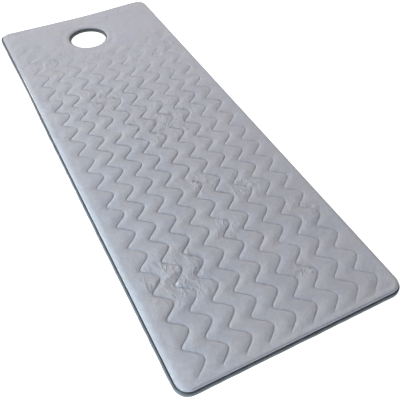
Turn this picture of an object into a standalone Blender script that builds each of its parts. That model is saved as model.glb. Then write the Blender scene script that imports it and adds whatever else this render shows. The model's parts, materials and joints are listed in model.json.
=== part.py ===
"""Heated far-infrared mat with a quilted top and a face hole, for a massage or beauty table.

Metres, +Z up. The origin is under the middle of the mat, on the surface that it lies on.
+Y runs towards the head end, which has the face hole, and +X is the side with the power inlet.
The mat folds in half across its middle for storage, so each layer has a head half and a foot half.
The foot half stays, and the head half turns about the fold hinge, just above the quilted top.
"""

import math

import bmesh
import bpy
from mathutils import Matrix

# Overall size
MAT_LENGTH = 1.880
MAT_WIDTH = 0.700
CORNER_RADIUS = 0.045

# Layers, from the table upwards
BASE_THICKNESS = 0.0012
FOAM_THICKNESS = 0.0065
FELT_THICKNESS = 0.0020
FOIL_THICKNESS = 0.0004
CARRIER_THICKNESS = 0.0008
CABLE_DIAMETER = 0.0024
WADDING_THICKNESS = 0.0030
COVER_THICKNESS = 0.0016

# Dark edge bindings, lower than the quilted top and standing out past it
BINDING_WIDTH = 0.008
BINDING_OVER_INLET = 0.0015  # height of tape left above the opening for the inlet

# Face hole, measured inside its binding
HOLE_RADIUS = 0.076
HOLE_TO_HEAD_END = 0.203

# Clearances
GAP = 0.0003            # between pieces that touch
FOLD_GAP = 0.0006       # between the two halves at the fold
FOLD_CLEARANCE = 0.001  # from the quilted top up to the fold's axis

# Heating cable and its leads
CABLE_PITCH = 0.054          # target distance between runs
CABLE_SIDE_MARGIN = 0.042    # from the inner layers' side to the outermost run
CABLE_END_MARGIN = 0.035     # from the inner layers' end to the cable's turns
CABLE_FOLD_MARGIN = 0.030    # from the fold to the cable's turns
CABLE_HOLE_MARGIN = 0.045    # from the face hole's lining to the cable's turns
END_CAP_LENGTH = 0.012
FEED_LEAD_RADIUS = 0.0012
FEED_LEAD_INSET = 0.009      # from the inner layers' side to the feed leads
LEAD_BEND = 0.012            # fillet radius where a lead turns
LEAD_TURN_MARGIN = 0.025     # from the fold, or the inner layers' end, to a lead's cross run
CUTOUT_SIZE = (0.008, 0.016, 0.0036)
CUTOUT_CLEARANCE = 0.001
SENSOR_LEAD_RADIUS = 0.0008
SENSOR_LEAD_INSET = 0.015
SENSOR_RADIUS = 0.0012
SENSOR_LENGTH = 0.014
SENSOR_FROM_INLET = 0.25

# Power inlet, set into the +X side of the foot half
INLET_TO_FOOT_END = 0.260
INLET_LENGTH = 0.056
INLET_DEPTH = 0.030
INLET_WALL = 0.0014
INLET_END_BLOCK = 0.008      # solid ends that take the screws
INLET_CLEARANCE = 0.001      # round the inlet, in the layers that it is let into
SOCKET_DEPTH = 0.013
PIN_COUNT = 4
PIN_RADIUS = 0.0008
PIN_LENGTH = 0.018
PIN_IN_SOCKET = 0.010        # length that stands out of the pin block
BOARD_THICKNESS = 0.0016
BOARD_EDGE = 0.001           # from the board to the inner layers' side and to the inlet's solid ends
SCREW_SHANK_RADIUS = 0.0010
SCREW_HEAD_RADIUS = 0.0018
SCREW_HEAD_HEIGHT = 0.0012
SCREW_TIP_MARGIN = 0.001     # left under the screw's tip

# Facets
CORNER_STEPS = 8
HOLE_STEPS = 48
TURN_STEPS = 6
ROUND_SIDES = 16
CUT_OVERRUN = 0.01           # how far a cutter runs past what it cuts

# Heights of the layers
BASE_TOP = BASE_THICKNESS
FOAM_BOTTOM = BASE_TOP + GAP
FELT_BOTTOM = FOAM_BOTTOM + FOAM_THICKNESS + GAP
FOIL_BOTTOM = FELT_BOTTOM + FELT_THICKNESS + GAP
CARRIER_BOTTOM = FOIL_BOTTOM + FOIL_THICKNESS + GAP
CABLE_BOTTOM = CARRIER_BOTTOM + CARRIER_THICKNESS + GAP
WADDING_BOTTOM = CABLE_BOTTOM + CABLE_DIAMETER + GAP
COVER_CEILING = WADDING_BOTTOM + WADDING_THICKNESS + GAP
COVER_TOP = COVER_CEILING + COVER_THICKNESS
FOLD_HEIGHT = COVER_TOP + FOLD_CLEARANCE

# Insets of the outlines from the mat's outer edge, and the matching radii at the face hole
COVER_INSET = BINDING_WIDTH + GAP
LINING_INSET = COVER_INSET + COVER_THICKNESS
LAYER_INSET = LINING_INSET + GAP
HOLE_CENTRE = (0.0, MAT_LENGTH / 2 - HOLE_TO_HEAD_END)
LAYER_HALF_WIDTH = MAT_WIDTH / 2 - LAYER_INSET
LAYER_END = MAT_LENGTH / 2 - LAYER_INSET

# Places of the inlet's pieces
INLET_Y = -(MAT_LENGTH / 2 - INLET_TO_FOOT_END)
INLET_MOUTH = MAT_WIDTH / 2 - GAP
INLET_BACK = INLET_MOUTH - INLET_DEPTH
BOARD_BOTTOM = CABLE_BOTTOM - GAP - BOARD_THICKNESS
INLET_FLOOR = BASE_TOP + INLET_CLEARANCE
INLET_TOP = BOARD_BOTTOM - GAP
INLET_SPLIT = (INLET_FLOOR + INLET_TOP) / 2
BINDING_HEIGHT = INLET_TOP + GAP + BINDING_OVER_INLET
SOCKET_LENGTH = INLET_LENGTH - 2 * INLET_END_BLOCK
PIN_PITCH = SOCKET_LENGTH / PIN_COUNT
BOARD_LENGTH = SOCKET_LENGTH - 2 * BOARD_EDGE
FEED_LEAD_X = LAYER_HALF_WIDTH - FEED_LEAD_INSET
SENSOR_LEAD_X = LAYER_HALF_WIDTH - SENSOR_LEAD_INSET
CABLE_HALF_SPAN = LAYER_HALF_WIDTH - CABLE_SIDE_MARGIN

HEAD, FOOT = 1, -1
HALF_NAMES = {HEAD: "head", FOOT: "foot"}

# Colour, roughness and metallic value of each material
FINISHES = {
    "quilted_fabric": ((0.62, 0.64, 0.68), 0.85, 0.0),
    "binding_fabric": ((0.10, 0.11, 0.12), 0.80, 0.0),
    "base_fabric": ((0.07, 0.07, 0.08), 0.75, 0.0),
    "foam": ((0.85, 0.83, 0.74), 0.95, 0.0),
    "felt": ((0.55, 0.53, 0.50), 0.95, 0.0),
    "foil": ((0.80, 0.81, 0.82), 0.25, 1.0),
    "carrier": ((0.90, 0.90, 0.88), 0.90, 0.0),
    "wadding": ((0.93, 0.93, 0.91), 0.95, 0.0),
    "cable_sheath": ((0.75, 0.15, 0.10), 0.55, 0.0),
    "lead_sheath": ((0.80, 0.80, 0.78), 0.55, 0.0),
    "cutout_case": ((0.12, 0.12, 0.13), 0.50, 0.0),
    "sensor_case": ((0.15, 0.25, 0.55), 0.40, 0.0),
    "inlet_plastic": ((0.05, 0.05, 0.055), 0.45, 0.0),
    "board": ((0.05, 0.30, 0.15), 0.50, 0.0),
    "brass": ((0.80, 0.62, 0.32), 0.30, 1.0),
    "steel": ((0.60, 0.60, 0.60), 0.35, 1.0),
}


def clear_scene():
    for old in list(bpy.data.objects):
        bpy.data.objects.remove(old, do_unlink=True)


def material(name):
    """Return the named material, made on its first use."""
    if name in bpy.data.materials:
        return bpy.data.materials[name]
    colour, roughness, metallic = FINISHES[name]
    made = bpy.data.materials.new(name)
    made.use_nodes = True
    shader = made.node_tree.nodes["Principled BSDF"]
    shader.inputs["Base Color"].default_value = (*colour, 1.0)
    shader.inputs["Roughness"].default_value = roughness
    shader.inputs["Metallic"].default_value = metallic
    return made


def add_object(name, data, finish=None):
    """Link a new object to the scene, and give it its material."""
    thing = bpy.data.objects.new(name, data)
    bpy.context.scene.collection.objects.link(thing)
    if finish:
        data.materials.append(material(finish))
    return thing


def add_mesh(name, bm, finish=None):
    """Turn a finished bmesh into an object with its faces pointing out."""
    bmesh.ops.recalc_face_normals(bm, faces=bm.faces)
    mesh = bpy.data.meshes.new(name)
    bm.to_mesh(mesh)
    bm.free()
    return add_object(name, mesh, finish)


def circle(centre, radius, steps):
    """Points round a circle."""
    angles = [2 * math.pi * i / steps for i in range(steps)]
    return [(centre[0] + radius * math.cos(a), centre[1] + radius * math.sin(a)) for a in angles]


def arc(centre, radius, start, end, steps):
    """Points along an arc, both ends included; the angles are in radians."""
    angles = [start + (end - start) * i / steps for i in range(steps + 1)]
    return [(centre[0] + radius * math.cos(a), centre[1] + radius * math.sin(a)) for a in angles]


def half_outline(side, inset, notch=False, overrun=0.0):
    """Outline of one half of the mat, set in from the outer edge, with an optional notch for the inlet."""
    half_width = MAT_WIDTH / 2 - inset
    end = MAT_LENGTH / 2 - inset
    radius = CORNER_RADIUS - inset
    fold = FOLD_GAP / 2 - overrun
    points = [(half_width, fold)]
    if notch:
        notch_x = INLET_BACK - INLET_CLEARANCE
        near = -INLET_Y - INLET_LENGTH / 2 - INLET_CLEARANCE
        far = -INLET_Y + INLET_LENGTH / 2 + INLET_CLEARANCE
        points += [(half_width, near), (notch_x, near), (notch_x, far), (half_width, far)]
    quarter = math.pi / 2
    points += arc((half_width - radius, end - radius), radius, 0.0, quarter, CORNER_STEPS)
    points += arc((radius - half_width, end - radius), radius, quarter, 2 * quarter, CORNER_STEPS)
    points.append((-half_width, fold))
    return [(x, side * y) for x, y in points]


def rectangle(centre, size_x, size_y):
    """Corners of a rectangle."""
    x, y = centre
    return [(x - size_x / 2, y - size_y / 2), (x + size_x / 2, y - size_y / 2),
            (x + size_x / 2, y + size_y / 2), (x - size_x / 2, y + size_y / 2)]


def prism(name, outline, bottom, top, finish=None, holes=()):
    """Closed solid with a flat outline, and holes that go right through."""
    bm = bmesh.new()
    edges = []
    for loop in (outline, *holes):
        verts = [bm.verts.new((x, y, bottom)) for x, y in loop]
        edges += [bm.edges.new((verts[i - 1], verts[i])) for i in range(len(verts))]
    bmesh.ops.triangle_fill(bm, use_beauty=True, edges=edges)
    raised = bmesh.ops.extrude_face_region(bm, geom=list(bm.faces))["geom"]
    moved = [item for item in raised if isinstance(item, bmesh.types.BMVert)]
    bmesh.ops.translate(bm, verts=moved, vec=(0, 0, top - bottom))
    return add_mesh(name, bm, finish)


def box(name, low, high, finish=None):
    """Box between two corners."""
    centre = ((low[0] + high[0]) / 2, (low[1] + high[1]) / 2)
    outline = rectangle(centre, high[0] - low[0], high[1] - low[1])
    return prism(name, outline, low[2], high[2], finish)


def rod(name, start, axis, radius, length, finish=None):
    """Round rod from a point along +X, +Y or +Z."""
    bm = bmesh.new()
    bmesh.ops.create_cone(bm, cap_ends=True, segments=ROUND_SIDES, radius1=radius,
                          radius2=radius, depth=length)
    bmesh.ops.translate(bm, verts=bm.verts, vec=(0, 0, length / 2))
    turn = {"X": Matrix.Rotation(math.pi / 2, 4, "Y"), "Y": Matrix.Rotation(-math.pi / 2, 4, "X"),
            "Z": Matrix.Identity(4)}[axis]
    bmesh.ops.transform(bm, matrix=Matrix.Translation(start) @ turn, verts=bm.verts)
    made = add_mesh(name, bm, finish)
    shade_round(made)
    return made


def shade_round(thing):
    """Smooth shading, with sharp edges kept where caps meet walls."""
    thing.data.shade_smooth()
    thing.data.set_sharp_from_angle(angle=math.radians(40))


def cut(target, cutter):
    """Cut one object out of another."""
    cutter.hide_render = True
    cutter.display_type = "WIRE"
    boolean = target.modifiers.new("Cut " + cutter.name, "BOOLEAN")
    boolean.operation = "DIFFERENCE"
    boolean.solver = "EXACT"
    boolean.object = cutter


def tube(name, points, height, radius, finish):
    """Cable along flat points, at one height."""
    curve = bpy.data.curves.new(name, "CURVE")
    curve.dimensions = "3D"
    spline = curve.splines.new("POLY")
    spline.points.add(len(points) - 1)
    for place, (x, y) in zip(spline.points, points):
        place.co = (x, y, height, 1.0)
    curve.bevel_depth = radius
    curve.bevel_resolution = 1
    curve.use_fill_caps = True
    return add_object(name, curve, finish)


def rounded_route(corners, radius):
    """Points of a route with right-angled corners, each corner rounded by an arc."""
    points = [corners[0]]
    for before, corner, after in zip(corners, corners[1:], corners[2:]):
        arrive = unit(before, corner)
        leave = unit(corner, after)
        start = (corner[0] - radius * arrive[0], corner[1] - radius * arrive[1])
        for i in range(TURN_STEPS + 1):
            angle = math.pi / 2 * i / TURN_STEPS
            along, across = radius * math.sin(angle), radius * (1 - math.cos(angle))
            points.append((start[0] + along * arrive[0] + across * leave[0],
                           start[1] + along * arrive[1] + across * leave[1]))
    points.append(corners[-1])
    return points


def unit(start, end):
    """Direction from one flat point to another."""
    x, y = end[0] - start[0], end[1] - start[1]
    length = math.hypot(x, y)
    return (x / length, y / length)


def serpentine(start_y, first_end, other_end):
    """Lengthwise runs from +X to -X, joined by half-round turns; both cable ends are at first_end."""
    run_count = 2 * round((2 * CABLE_HALF_SPAN / CABLE_PITCH + 1) / 2)
    turn = CABLE_HALF_SPAN / (run_count - 1)
    way = 1 if other_end > first_end else -1
    points = [(CABLE_HALF_SPAN, start_y)]
    for run in range(run_count - 1):
        centre_x = CABLE_HALF_SPAN - (2 * run + 1) * turn
        outward = way if run % 2 == 0 else -way
        end = other_end if run % 2 == 0 else first_end
        for x, y in arc((0.0, 0.0), turn, 0.0, math.pi, TURN_STEPS):
            points.append((centre_x + x, end - outward * turn + outward * y))
    points.append((-CABLE_HALF_SPAN, start_y))
    return points


def layer(side, kind, bottom, thickness, finish, notch=False, extra_holes=()):
    """One flat inner layer of one half, with the face hole in the head half."""
    holes = list(extra_holes)
    if side == HEAD:
        holes.append(circle(HOLE_CENTRE, HOLE_RADIUS + LAYER_INSET, HOLE_STEPS))
    outline = half_outline(side, LAYER_INSET, notch=notch and side == FOOT)
    return prism(f"{HALF_NAMES[side]}_{kind}", outline, bottom, bottom + thickness, finish, holes)


def inlet_window(name):
    """Cutter for the opening that the inlet passes through."""
    half = INLET_LENGTH / 2 + GAP
    low = (INLET_BACK - CUT_OVERRUN, INLET_Y - half, INLET_FLOOR - GAP)
    high = (MAT_WIDTH / 2 + CUT_OVERRUN, INLET_Y + half, INLET_TOP + GAP)
    return box(name, low, high)


def make_base_cover(side):
    holes = [circle(HOLE_CENTRE, HOLE_RADIUS + COVER_INSET, HOLE_STEPS)] if side == HEAD else []
    prism(f"{HALF_NAMES[side]}_base_cover", half_outline(side, COVER_INSET), 0.0, BASE_TOP,
          "base_fabric", holes)


def make_quilted_cover(side):
    """Shallow upside-down tray: the quilted face, and its sides down to the base cover."""
    name = f"{HALF_NAMES[side]}_quilted_cover"
    outer_holes, inner_holes = [], []
    if side == HEAD:
        outer_holes = [circle(HOLE_CENTRE, HOLE_RADIUS + COVER_INSET, HOLE_STEPS)]
        inner_holes = [circle(HOLE_CENTRE, HOLE_RADIUS + LINING_INSET, HOLE_STEPS)]
    cover = prism(name, half_outline(side, COVER_INSET), BASE_TOP + GAP, COVER_TOP,
                  "quilted_fabric", outer_holes)
    inside = half_outline(side, LINING_INSET, overrun=CUT_OVERRUN)
    cut(cover, prism(name + "_inside", inside, -CUT_OVERRUN, COVER_CEILING, holes=inner_holes))
    if side == FOOT:
        cut(cover, inlet_window(name + "_window"))


def make_edge_binding(side):
    name = f"{HALF_NAMES[side]}_edge_binding"
    outline = half_outline(side, 0.0) + half_outline(side, BINDING_WIDTH)[::-1]
    binding = prism(name, outline, 0.0, BINDING_HEIGHT, "binding_fabric")
    if side == FOOT:
        cut(binding, inlet_window(name + "_window"))


def make_face_hole_binding():
    outer = circle(HOLE_CENTRE, HOLE_RADIUS + BINDING_WIDTH, HOLE_STEPS)
    inner = circle(HOLE_CENTRE, HOLE_RADIUS, HOLE_STEPS)
    binding = prism("face_hole_binding", outer, 0.0, BINDING_HEIGHT, "binding_fabric", [inner])
    shade_round(binding)


def cable_limits(side):
    """First and other end of the serpentine's turns, and where the cut-out's near end lies."""
    if side == HEAD:
        lining_edge = HOLE_CENTRE[1] - HOLE_RADIUS - LAYER_INSET
        first, other = CABLE_FOLD_MARGIN, lining_edge - CABLE_HOLE_MARGIN
        return first, other, LEAD_TURN_MARGIN + 2 * LEAD_BEND
    first, other = CABLE_END_MARGIN - LAYER_END, -CABLE_FOLD_MARGIN
    return first, other, LEAD_TURN_MARGIN + 2 * LEAD_BEND - LAYER_END


def cutout_centre(side):
    """Middle of the cut-out, in line with the cable's first run."""
    return (CABLE_HALF_SPAN, cable_limits(side)[2] + CUTOUT_SIZE[1] / 2)


def make_heating_circuit(side):
    """Cut-out, heating cable and its closed end, on the heater carrier."""
    half_name = HALF_NAMES[side]
    size_x, size_y, size_z = CUTOUT_SIZE
    x, y = cutout_centre(side)
    box(f"{half_name}_thermal_cutout", (x - size_x / 2, y - size_y / 2, CABLE_BOTTOM),
        (x + size_x / 2, y + size_y / 2, CABLE_BOTTOM + size_z), "cutout_case")
    first, other, _ = cable_limits(side)
    start = y + size_y / 2 + GAP
    height = CABLE_BOTTOM + CABLE_DIAMETER / 2
    tube(f"{half_name}_heating_cable", serpentine(start, first, other), height,
         CABLE_DIAMETER / 2, "cable_sheath")
    cap_start = (-CABLE_HALF_SPAN, start - GAP - END_CAP_LENGTH, height)
    rod(f"{half_name}_cable_end_cap", cap_start, "Y", CABLE_DIAMETER / 2, END_CAP_LENGTH,
        "lead_sheath")


def make_layers(side):
    """Foam, felt, foil, carrier and wadding of one half."""
    layer(side, "foam_core", FOAM_BOTTOM, FOAM_THICKNESS, "foam", notch=True)
    layer(side, "insulation_felt", FELT_BOTTOM, FELT_THICKNESS, "felt", notch=True)
    layer(side, "reflector_foil", FOIL_BOTTOM, FOIL_THICKNESS, "foil", notch=True)
    layer(side, "heater_carrier", CARRIER_BOTTOM, CARRIER_THICKNESS, "carrier", notch=True)
    window = rectangle(cutout_centre(side), CUTOUT_SIZE[0] + 2 * CUTOUT_CLEARANCE,
                       CUTOUT_SIZE[1] + 2 * CUTOUT_CLEARANCE)
    layer(side, "wadding", WADDING_BOTTOM, WADDING_THICKNESS, "wadding", extra_holes=[window])


def make_leads():
    """Feed leads to both halves, and the temperature sensor on its own lead."""
    height = CABLE_BOTTOM + FEED_LEAD_RADIUS
    half_board = BOARD_LENGTH / 2
    fold = FOLD_GAP / 2
    foot_turn = LEAD_TURN_MARGIN - LAYER_END
    foot_route = [(FEED_LEAD_X, INLET_Y - half_board / 2), (FEED_LEAD_X, foot_turn),
                  (CABLE_HALF_SPAN, foot_turn), (CABLE_HALF_SPAN, cable_limits(FOOT)[2] - GAP)]
    head_route = [(FEED_LEAD_X, fold), (FEED_LEAD_X, LEAD_TURN_MARGIN),
                  (CABLE_HALF_SPAN, LEAD_TURN_MARGIN), (CABLE_HALF_SPAN, cable_limits(HEAD)[2] - GAP)]
    trunk_route = [(FEED_LEAD_X, INLET_Y + half_board / 2), (FEED_LEAD_X, -fold)]
    tube("foot_feed_lead", rounded_route(foot_route, LEAD_BEND), height, FEED_LEAD_RADIUS, "lead_sheath")
    tube("head_feed_lead", rounded_route(head_route, LEAD_BEND), height, FEED_LEAD_RADIUS, "lead_sheath")
    tube("trunk_feed_lead", trunk_route, height, FEED_LEAD_RADIUS, "lead_sheath")
    sensor_y = INLET_Y + SENSOR_FROM_INLET
    sensor_route = [(SENSOR_LEAD_X, INLET_Y), (SENSOR_LEAD_X, sensor_y)]
    sensor_height = CABLE_BOTTOM + SENSOR_RADIUS
    tube("sensor_lead", sensor_route, sensor_height, SENSOR_LEAD_RADIUS, "lead_sheath")
    rod("temperature_sensor", (SENSOR_LEAD_X, sensor_y + GAP, sensor_height), "Y", SENSOR_RADIUS,
        SENSOR_LENGTH, "sensor_case")


def screw_places():
    """Middles of the inlet's two solid ends."""
    reach = (INLET_LENGTH - INLET_END_BLOCK) / 2
    middle = (INLET_BACK + min(INLET_MOUTH, LAYER_HALF_WIDTH)) / 2
    return [(middle, INLET_Y - reach), (middle, INLET_Y + reach)]


def make_inlet_shell(name, low, high, inside_low, inside_high):
    """Half of the inlet's housing: a box opened towards the other half and at the socket's mouth."""
    shell = box(name, (INLET_BACK, INLET_Y - INLET_LENGTH / 2, low),
                (INLET_MOUTH, INLET_Y + INLET_LENGTH / 2, high), "inlet_plastic")
    cut(shell, box(name + "_inside", (INLET_BACK + INLET_WALL, INLET_Y - SOCKET_LENGTH / 2, inside_low),
                   (INLET_MOUTH + CUT_OVERRUN, INLET_Y + SOCKET_LENGTH / 2, inside_high)))
    tip = INLET_FLOOR + SCREW_TIP_MARGIN - GAP
    for number, (x, y) in enumerate(screw_places(), 1):
        hole = rod(f"{name}_screw_hole_{number}", (x, y, tip), "Z", SCREW_SHANK_RADIUS + GAP,
                   INLET_TOP - tip + CUT_OVERRUN)
        cut(shell, hole)


def pin_places():
    """Y of each contact pin."""
    first = INLET_Y - (PIN_COUNT - 1) * PIN_PITCH / 2
    return [first + PIN_PITCH * i for i in range(PIN_COUNT)]


def make_inlet():
    """Housing in two shells, pin block, pins, terminal board and screws."""
    make_inlet_shell("inlet_lower_shell", INLET_FLOOR, INLET_SPLIT - GAP / 2,
                     INLET_FLOOR + INLET_WALL, INLET_TOP)
    make_inlet_shell("inlet_upper_shell", INLET_SPLIT + GAP / 2, INLET_TOP,
                     INLET_FLOOR, INLET_TOP - INLET_WALL)
    block_front = INLET_MOUTH - SOCKET_DEPTH
    inset = INLET_WALL + GAP
    half_socket = SOCKET_LENGTH / 2 - GAP
    block = box("inlet_pin_block", (INLET_BACK + inset, INLET_Y - half_socket, INLET_FLOOR + inset),
                (block_front, INLET_Y + half_socket, INLET_TOP - inset), "inlet_plastic")
    pin_start = block_front + PIN_IN_SOCKET - PIN_LENGTH
    for number, y in enumerate(pin_places(), 1):
        hole = rod(f"inlet_pin_hole_{number}", (pin_start - GAP, y, INLET_SPLIT), "X", PIN_RADIUS + GAP,
                   PIN_LENGTH + CUT_OVERRUN)
        cut(block, hole)
        rod(f"inlet_pin_{number}", (pin_start, y, INLET_SPLIT), "X", PIN_RADIUS, PIN_LENGTH, "brass")
    half_board = BOARD_LENGTH / 2
    box("inlet_terminal_board", (INLET_BACK + BOARD_EDGE, INLET_Y - half_board, BOARD_BOTTOM),
        (LAYER_HALF_WIDTH - BOARD_EDGE, INLET_Y + half_board, BOARD_BOTTOM + BOARD_THICKNESS), "board")
    for number, place in enumerate(screw_places(), 1):
        make_screw(f"inlet_screw_{number}", place)


def make_screw(name, place):
    """Cheese-head screw, turned about its own axis."""
    tip = INLET_FLOOR + SCREW_TIP_MARGIN
    seat = INLET_TOP + GAP
    profile = [(0.0, tip), (SCREW_SHANK_RADIUS, tip), (SCREW_SHANK_RADIUS, seat),
               (SCREW_HEAD_RADIUS, seat), (SCREW_HEAD_RADIUS, seat + SCREW_HEAD_HEIGHT),
               (0.0, seat + SCREW_HEAD_HEIGHT)]
    bm = bmesh.new()
    verts = [bm.verts.new((place[0] + r, place[1], z)) for r, z in profile]
    edges = [bm.edges.new(pair) for pair in zip(verts, verts[1:])]
    bmesh.ops.spin(bm, geom=verts + edges, cent=(*place, 0.0), axis=(0, 0, 1), angle=2 * math.pi,
                   steps=ROUND_SIDES, use_merge=True)
    bmesh.ops.remove_doubles(bm, verts=bm.verts, dist=0.00001)
    shade_round(add_mesh(name, bm, "steel"))


def hang_on_fold_hinge():
    """Parent the head half's pieces to an empty on the fold's axis, with every piece left in place."""
    hinge = add_object("fold_hinge", None)
    hinge.location = (0.0, 0.0, FOLD_HEIGHT)
    for thing in list(bpy.data.objects):
        if thing.name.startswith("head_") or thing.name == "face_hole_binding":
            thing.parent = hinge
            thing.matrix_parent_inverse = Matrix.Translation((0.0, 0.0, -FOLD_HEIGHT))


def main():
    clear_scene()
    for side in (FOOT, HEAD):
        make_base_cover(side)
        make_layers(side)
        make_heating_circuit(side)
        make_quilted_cover(side)
        make_edge_binding(side)
    make_face_hole_binding()
    make_leads()
    make_inlet()
    hang_on_fold_hinge()


main()
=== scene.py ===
# %% [markdown]
# # A heated quilted mat with a face hole
#
# The mat lies flat on a massage table. A light quilted pad sits on a thin dark base, and a dark
# binding runs round the outside and round the face hole. The frame brings the exact solids, and
# this notebook dresses them: it keeps the frame's places and adds fabric, thread and finish.

# %% Load the frame
import json
import math

import bmesh
import bpy
import numpy as np
from mathutils import Matrix, Vector, kdtree, noise


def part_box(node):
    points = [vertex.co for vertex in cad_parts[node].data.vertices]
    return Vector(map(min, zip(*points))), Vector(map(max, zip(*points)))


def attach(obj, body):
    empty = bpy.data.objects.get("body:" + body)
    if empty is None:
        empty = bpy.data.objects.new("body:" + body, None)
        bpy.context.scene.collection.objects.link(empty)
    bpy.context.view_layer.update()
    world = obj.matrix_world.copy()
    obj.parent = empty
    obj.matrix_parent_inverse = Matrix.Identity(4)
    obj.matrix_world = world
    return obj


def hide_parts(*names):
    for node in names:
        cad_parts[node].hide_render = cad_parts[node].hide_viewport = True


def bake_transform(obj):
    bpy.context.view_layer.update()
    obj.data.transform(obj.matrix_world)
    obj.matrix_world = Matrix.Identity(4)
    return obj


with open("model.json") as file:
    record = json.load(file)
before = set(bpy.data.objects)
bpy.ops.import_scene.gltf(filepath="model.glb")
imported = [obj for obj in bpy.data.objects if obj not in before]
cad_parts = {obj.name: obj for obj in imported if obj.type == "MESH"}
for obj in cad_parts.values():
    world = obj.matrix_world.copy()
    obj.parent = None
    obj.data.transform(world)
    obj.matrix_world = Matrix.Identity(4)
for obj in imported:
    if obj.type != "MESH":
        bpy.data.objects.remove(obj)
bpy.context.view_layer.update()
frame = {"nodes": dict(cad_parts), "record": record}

# %% [markdown]
# ## Sizes
#
# Every place comes from the frame's own boxes, so the fabric fits the solids it covers. Only what
# a box can't tell, such as how round the corners are, is a named value here.


# %% Sizes read from the frame
def span(*nodes):
    """Lowest and highest corner round several frame nodes."""
    boxes = [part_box(node) for node in nodes]
    low = [min(box[0][k] for box in boxes) for k in range(3)]
    high = [max(box[1][k] for box in boxes) for k in range(3)]
    return Vector(low), Vector(high)


cover_high = span("foot_quilted_cover", "head_quilted_cover")[1]
band_high = span("foot_edge_binding", "head_edge_binding")[1]
ring_low, ring_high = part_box("face_hole_binding")
inlet_low, inlet_high = span("inlet_lower_shell", "inlet_upper_shell")
GAP = 0.0003
HALF_X, HALF_Y = cover_high.x, cover_high.y
BAND_WIDTH = band_high.x - cover_high.x - GAP
MAT_CORNER = 0.045
COVER_CORNER = MAT_CORNER - BAND_WIDTH - GAP
HOLE_X, HOLE_Y = 0.0, (ring_low.y + ring_high.y) / 2
RING_OUTER = (ring_high.x - ring_low.x) / 2
COVER_HOLE = RING_OUTER + GAP
PAD_TOP = cover_high.z
PAD_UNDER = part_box("foot_wadding")[0].z
print("pad", round(2 * HALF_X, 4), "x", round(2 * HALF_Y, 4), "m, hole radius", round(COVER_HOLE, 4))

# %% [markdown]
# ## Camera, floor and light
#
# The camera stands at the foot end, left of the mat, and looks down its length. Quilting shows
# only where light crosses it at a slant, so the main light is a soft sun that comes low from
# beyond the head end. A long cool lamp low on the left catches the slack edge, like a window would,
# and a small overhead lamp, a weak one in front and the pale world fill the shadows.

# %% Camera
CAMERA_PLACE = (-0.5475, -1.4546, 1.2947)
CAMERA_TURN, CAMERA_DIP, CAMERA_ROLL = -0.464, 0.8152, -0.0088
CAMERA_LENS = 49.42


def make_camera():
    camera = bpy.data.objects.new("camera", bpy.data.cameras.new("camera"))
    bpy.context.scene.collection.objects.link(camera)
    camera.data.lens = CAMERA_LENS
    camera.data.sensor_width = 36.0
    turn = Matrix.Rotation(CAMERA_TURN, 4, "Z") @ Matrix.Rotation(math.pi / 2 - CAMERA_DIP, 4, "X")
    camera.matrix_world = Matrix.Translation(CAMERA_PLACE) @ turn @ Matrix.Rotation(CAMERA_ROLL, 4, "Z")
    bpy.context.scene.camera = camera
    return camera


make_camera()
print("camera lens", CAMERA_LENS, "mm")


# %% Lamps and world
def make_lamp(name, place, target, width, height, power, colour):
    data = bpy.data.lights.new(name, "AREA")
    data.shape = "RECTANGLE"
    data.size, data.size_y = width, height
    data.energy, data.color = power, colour
    lamp = bpy.data.objects.new(name, data)
    lamp.visible_camera = False
    bpy.context.scene.collection.objects.link(lamp)
    aim = (Vector(target) - Vector(place)).to_track_quat("-Z", "Y")
    lamp.matrix_world = Matrix.Translation(place) @ aim.to_matrix().to_4x4()
    return lamp


def make_sun(name, direction, power, softness, colour):
    data = bpy.data.lights.new(name, "SUN")
    data.energy, data.angle, data.color = power, softness, colour
    lamp = bpy.data.objects.new(name, data)
    bpy.context.scene.collection.objects.link(lamp)
    lamp.matrix_world = Vector(direction).to_track_quat("Z", "Y").to_matrix().to_4x4()
    return lamp


make_sun("main_sun", (-1.0, 2.4, 1.55), 2.84, 0.18, (1.0, 0.985, 0.965))
make_lamp("window_lamp", (-1.02, -0.40, 0.17), (-0.30, -0.35, 0.0), 1.9, 0.20, 13.8, (0.64, 0.885, 1.0))
make_lamp("overhead_lamp", (0.05, 1.15, 1.6), (0.0, 0.58, 0.0), 0.8, 0.8, 14.0, (0.98, 0.98, 1.0))
make_lamp("front_lamp", (-0.3, -2.7, 0.9), (0.0, -0.95, 0.0), 1.2, 0.6, 13.0, (0.80, 0.89, 1.0))
world = bpy.data.worlds.new("studio")
bpy.context.scene.world = world
world.use_nodes = True
world.node_tree.nodes["Background"].inputs["Color"].default_value = (0.95, 0.96, 1.0, 1.0)
world.node_tree.nodes["Background"].inputs["Strength"].default_value = 0.26
bpy.context.scene.view_settings.view_transform = "Standard"
print("lamps:", [light.name for light in bpy.data.lights])

# %% [markdown]
# ## Helpers for shader nodes
#
# A material is a small tree of nodes. Two helpers keep the trees short: one adds a node and wires
# its inputs by name, and one starts a node group with named sockets. A group is built once and
# then placed in every material that needs it, each time with its own values.


# %% Node helpers
def add_node(tree, kind, settings=None, **inputs):
    """Add a shader node. Inputs are named as on the node, with _ for a space, or in0, in1 by number."""
    node = tree.nodes.new("ShaderNode" + kind)
    for key, value in (settings or {}).items():
        setattr(node, key, value)
    for key, value in inputs.items():
        numbered = key.startswith("in") and key[2:].isdigit()
        socket = node.inputs[int(key[2:])] if numbered else node.inputs[key.replace("_", " ")]
        if isinstance(value, bpy.types.NodeSocket):
            tree.links.new(value, socket)
        else:
            socket.default_value = value
    return node


def compute(tree, operation, first, second=0.0):
    """Output of one Math node."""
    return add_node(tree, "Math", {"operation": operation}, in0=first, in1=second).outputs[0]


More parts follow.
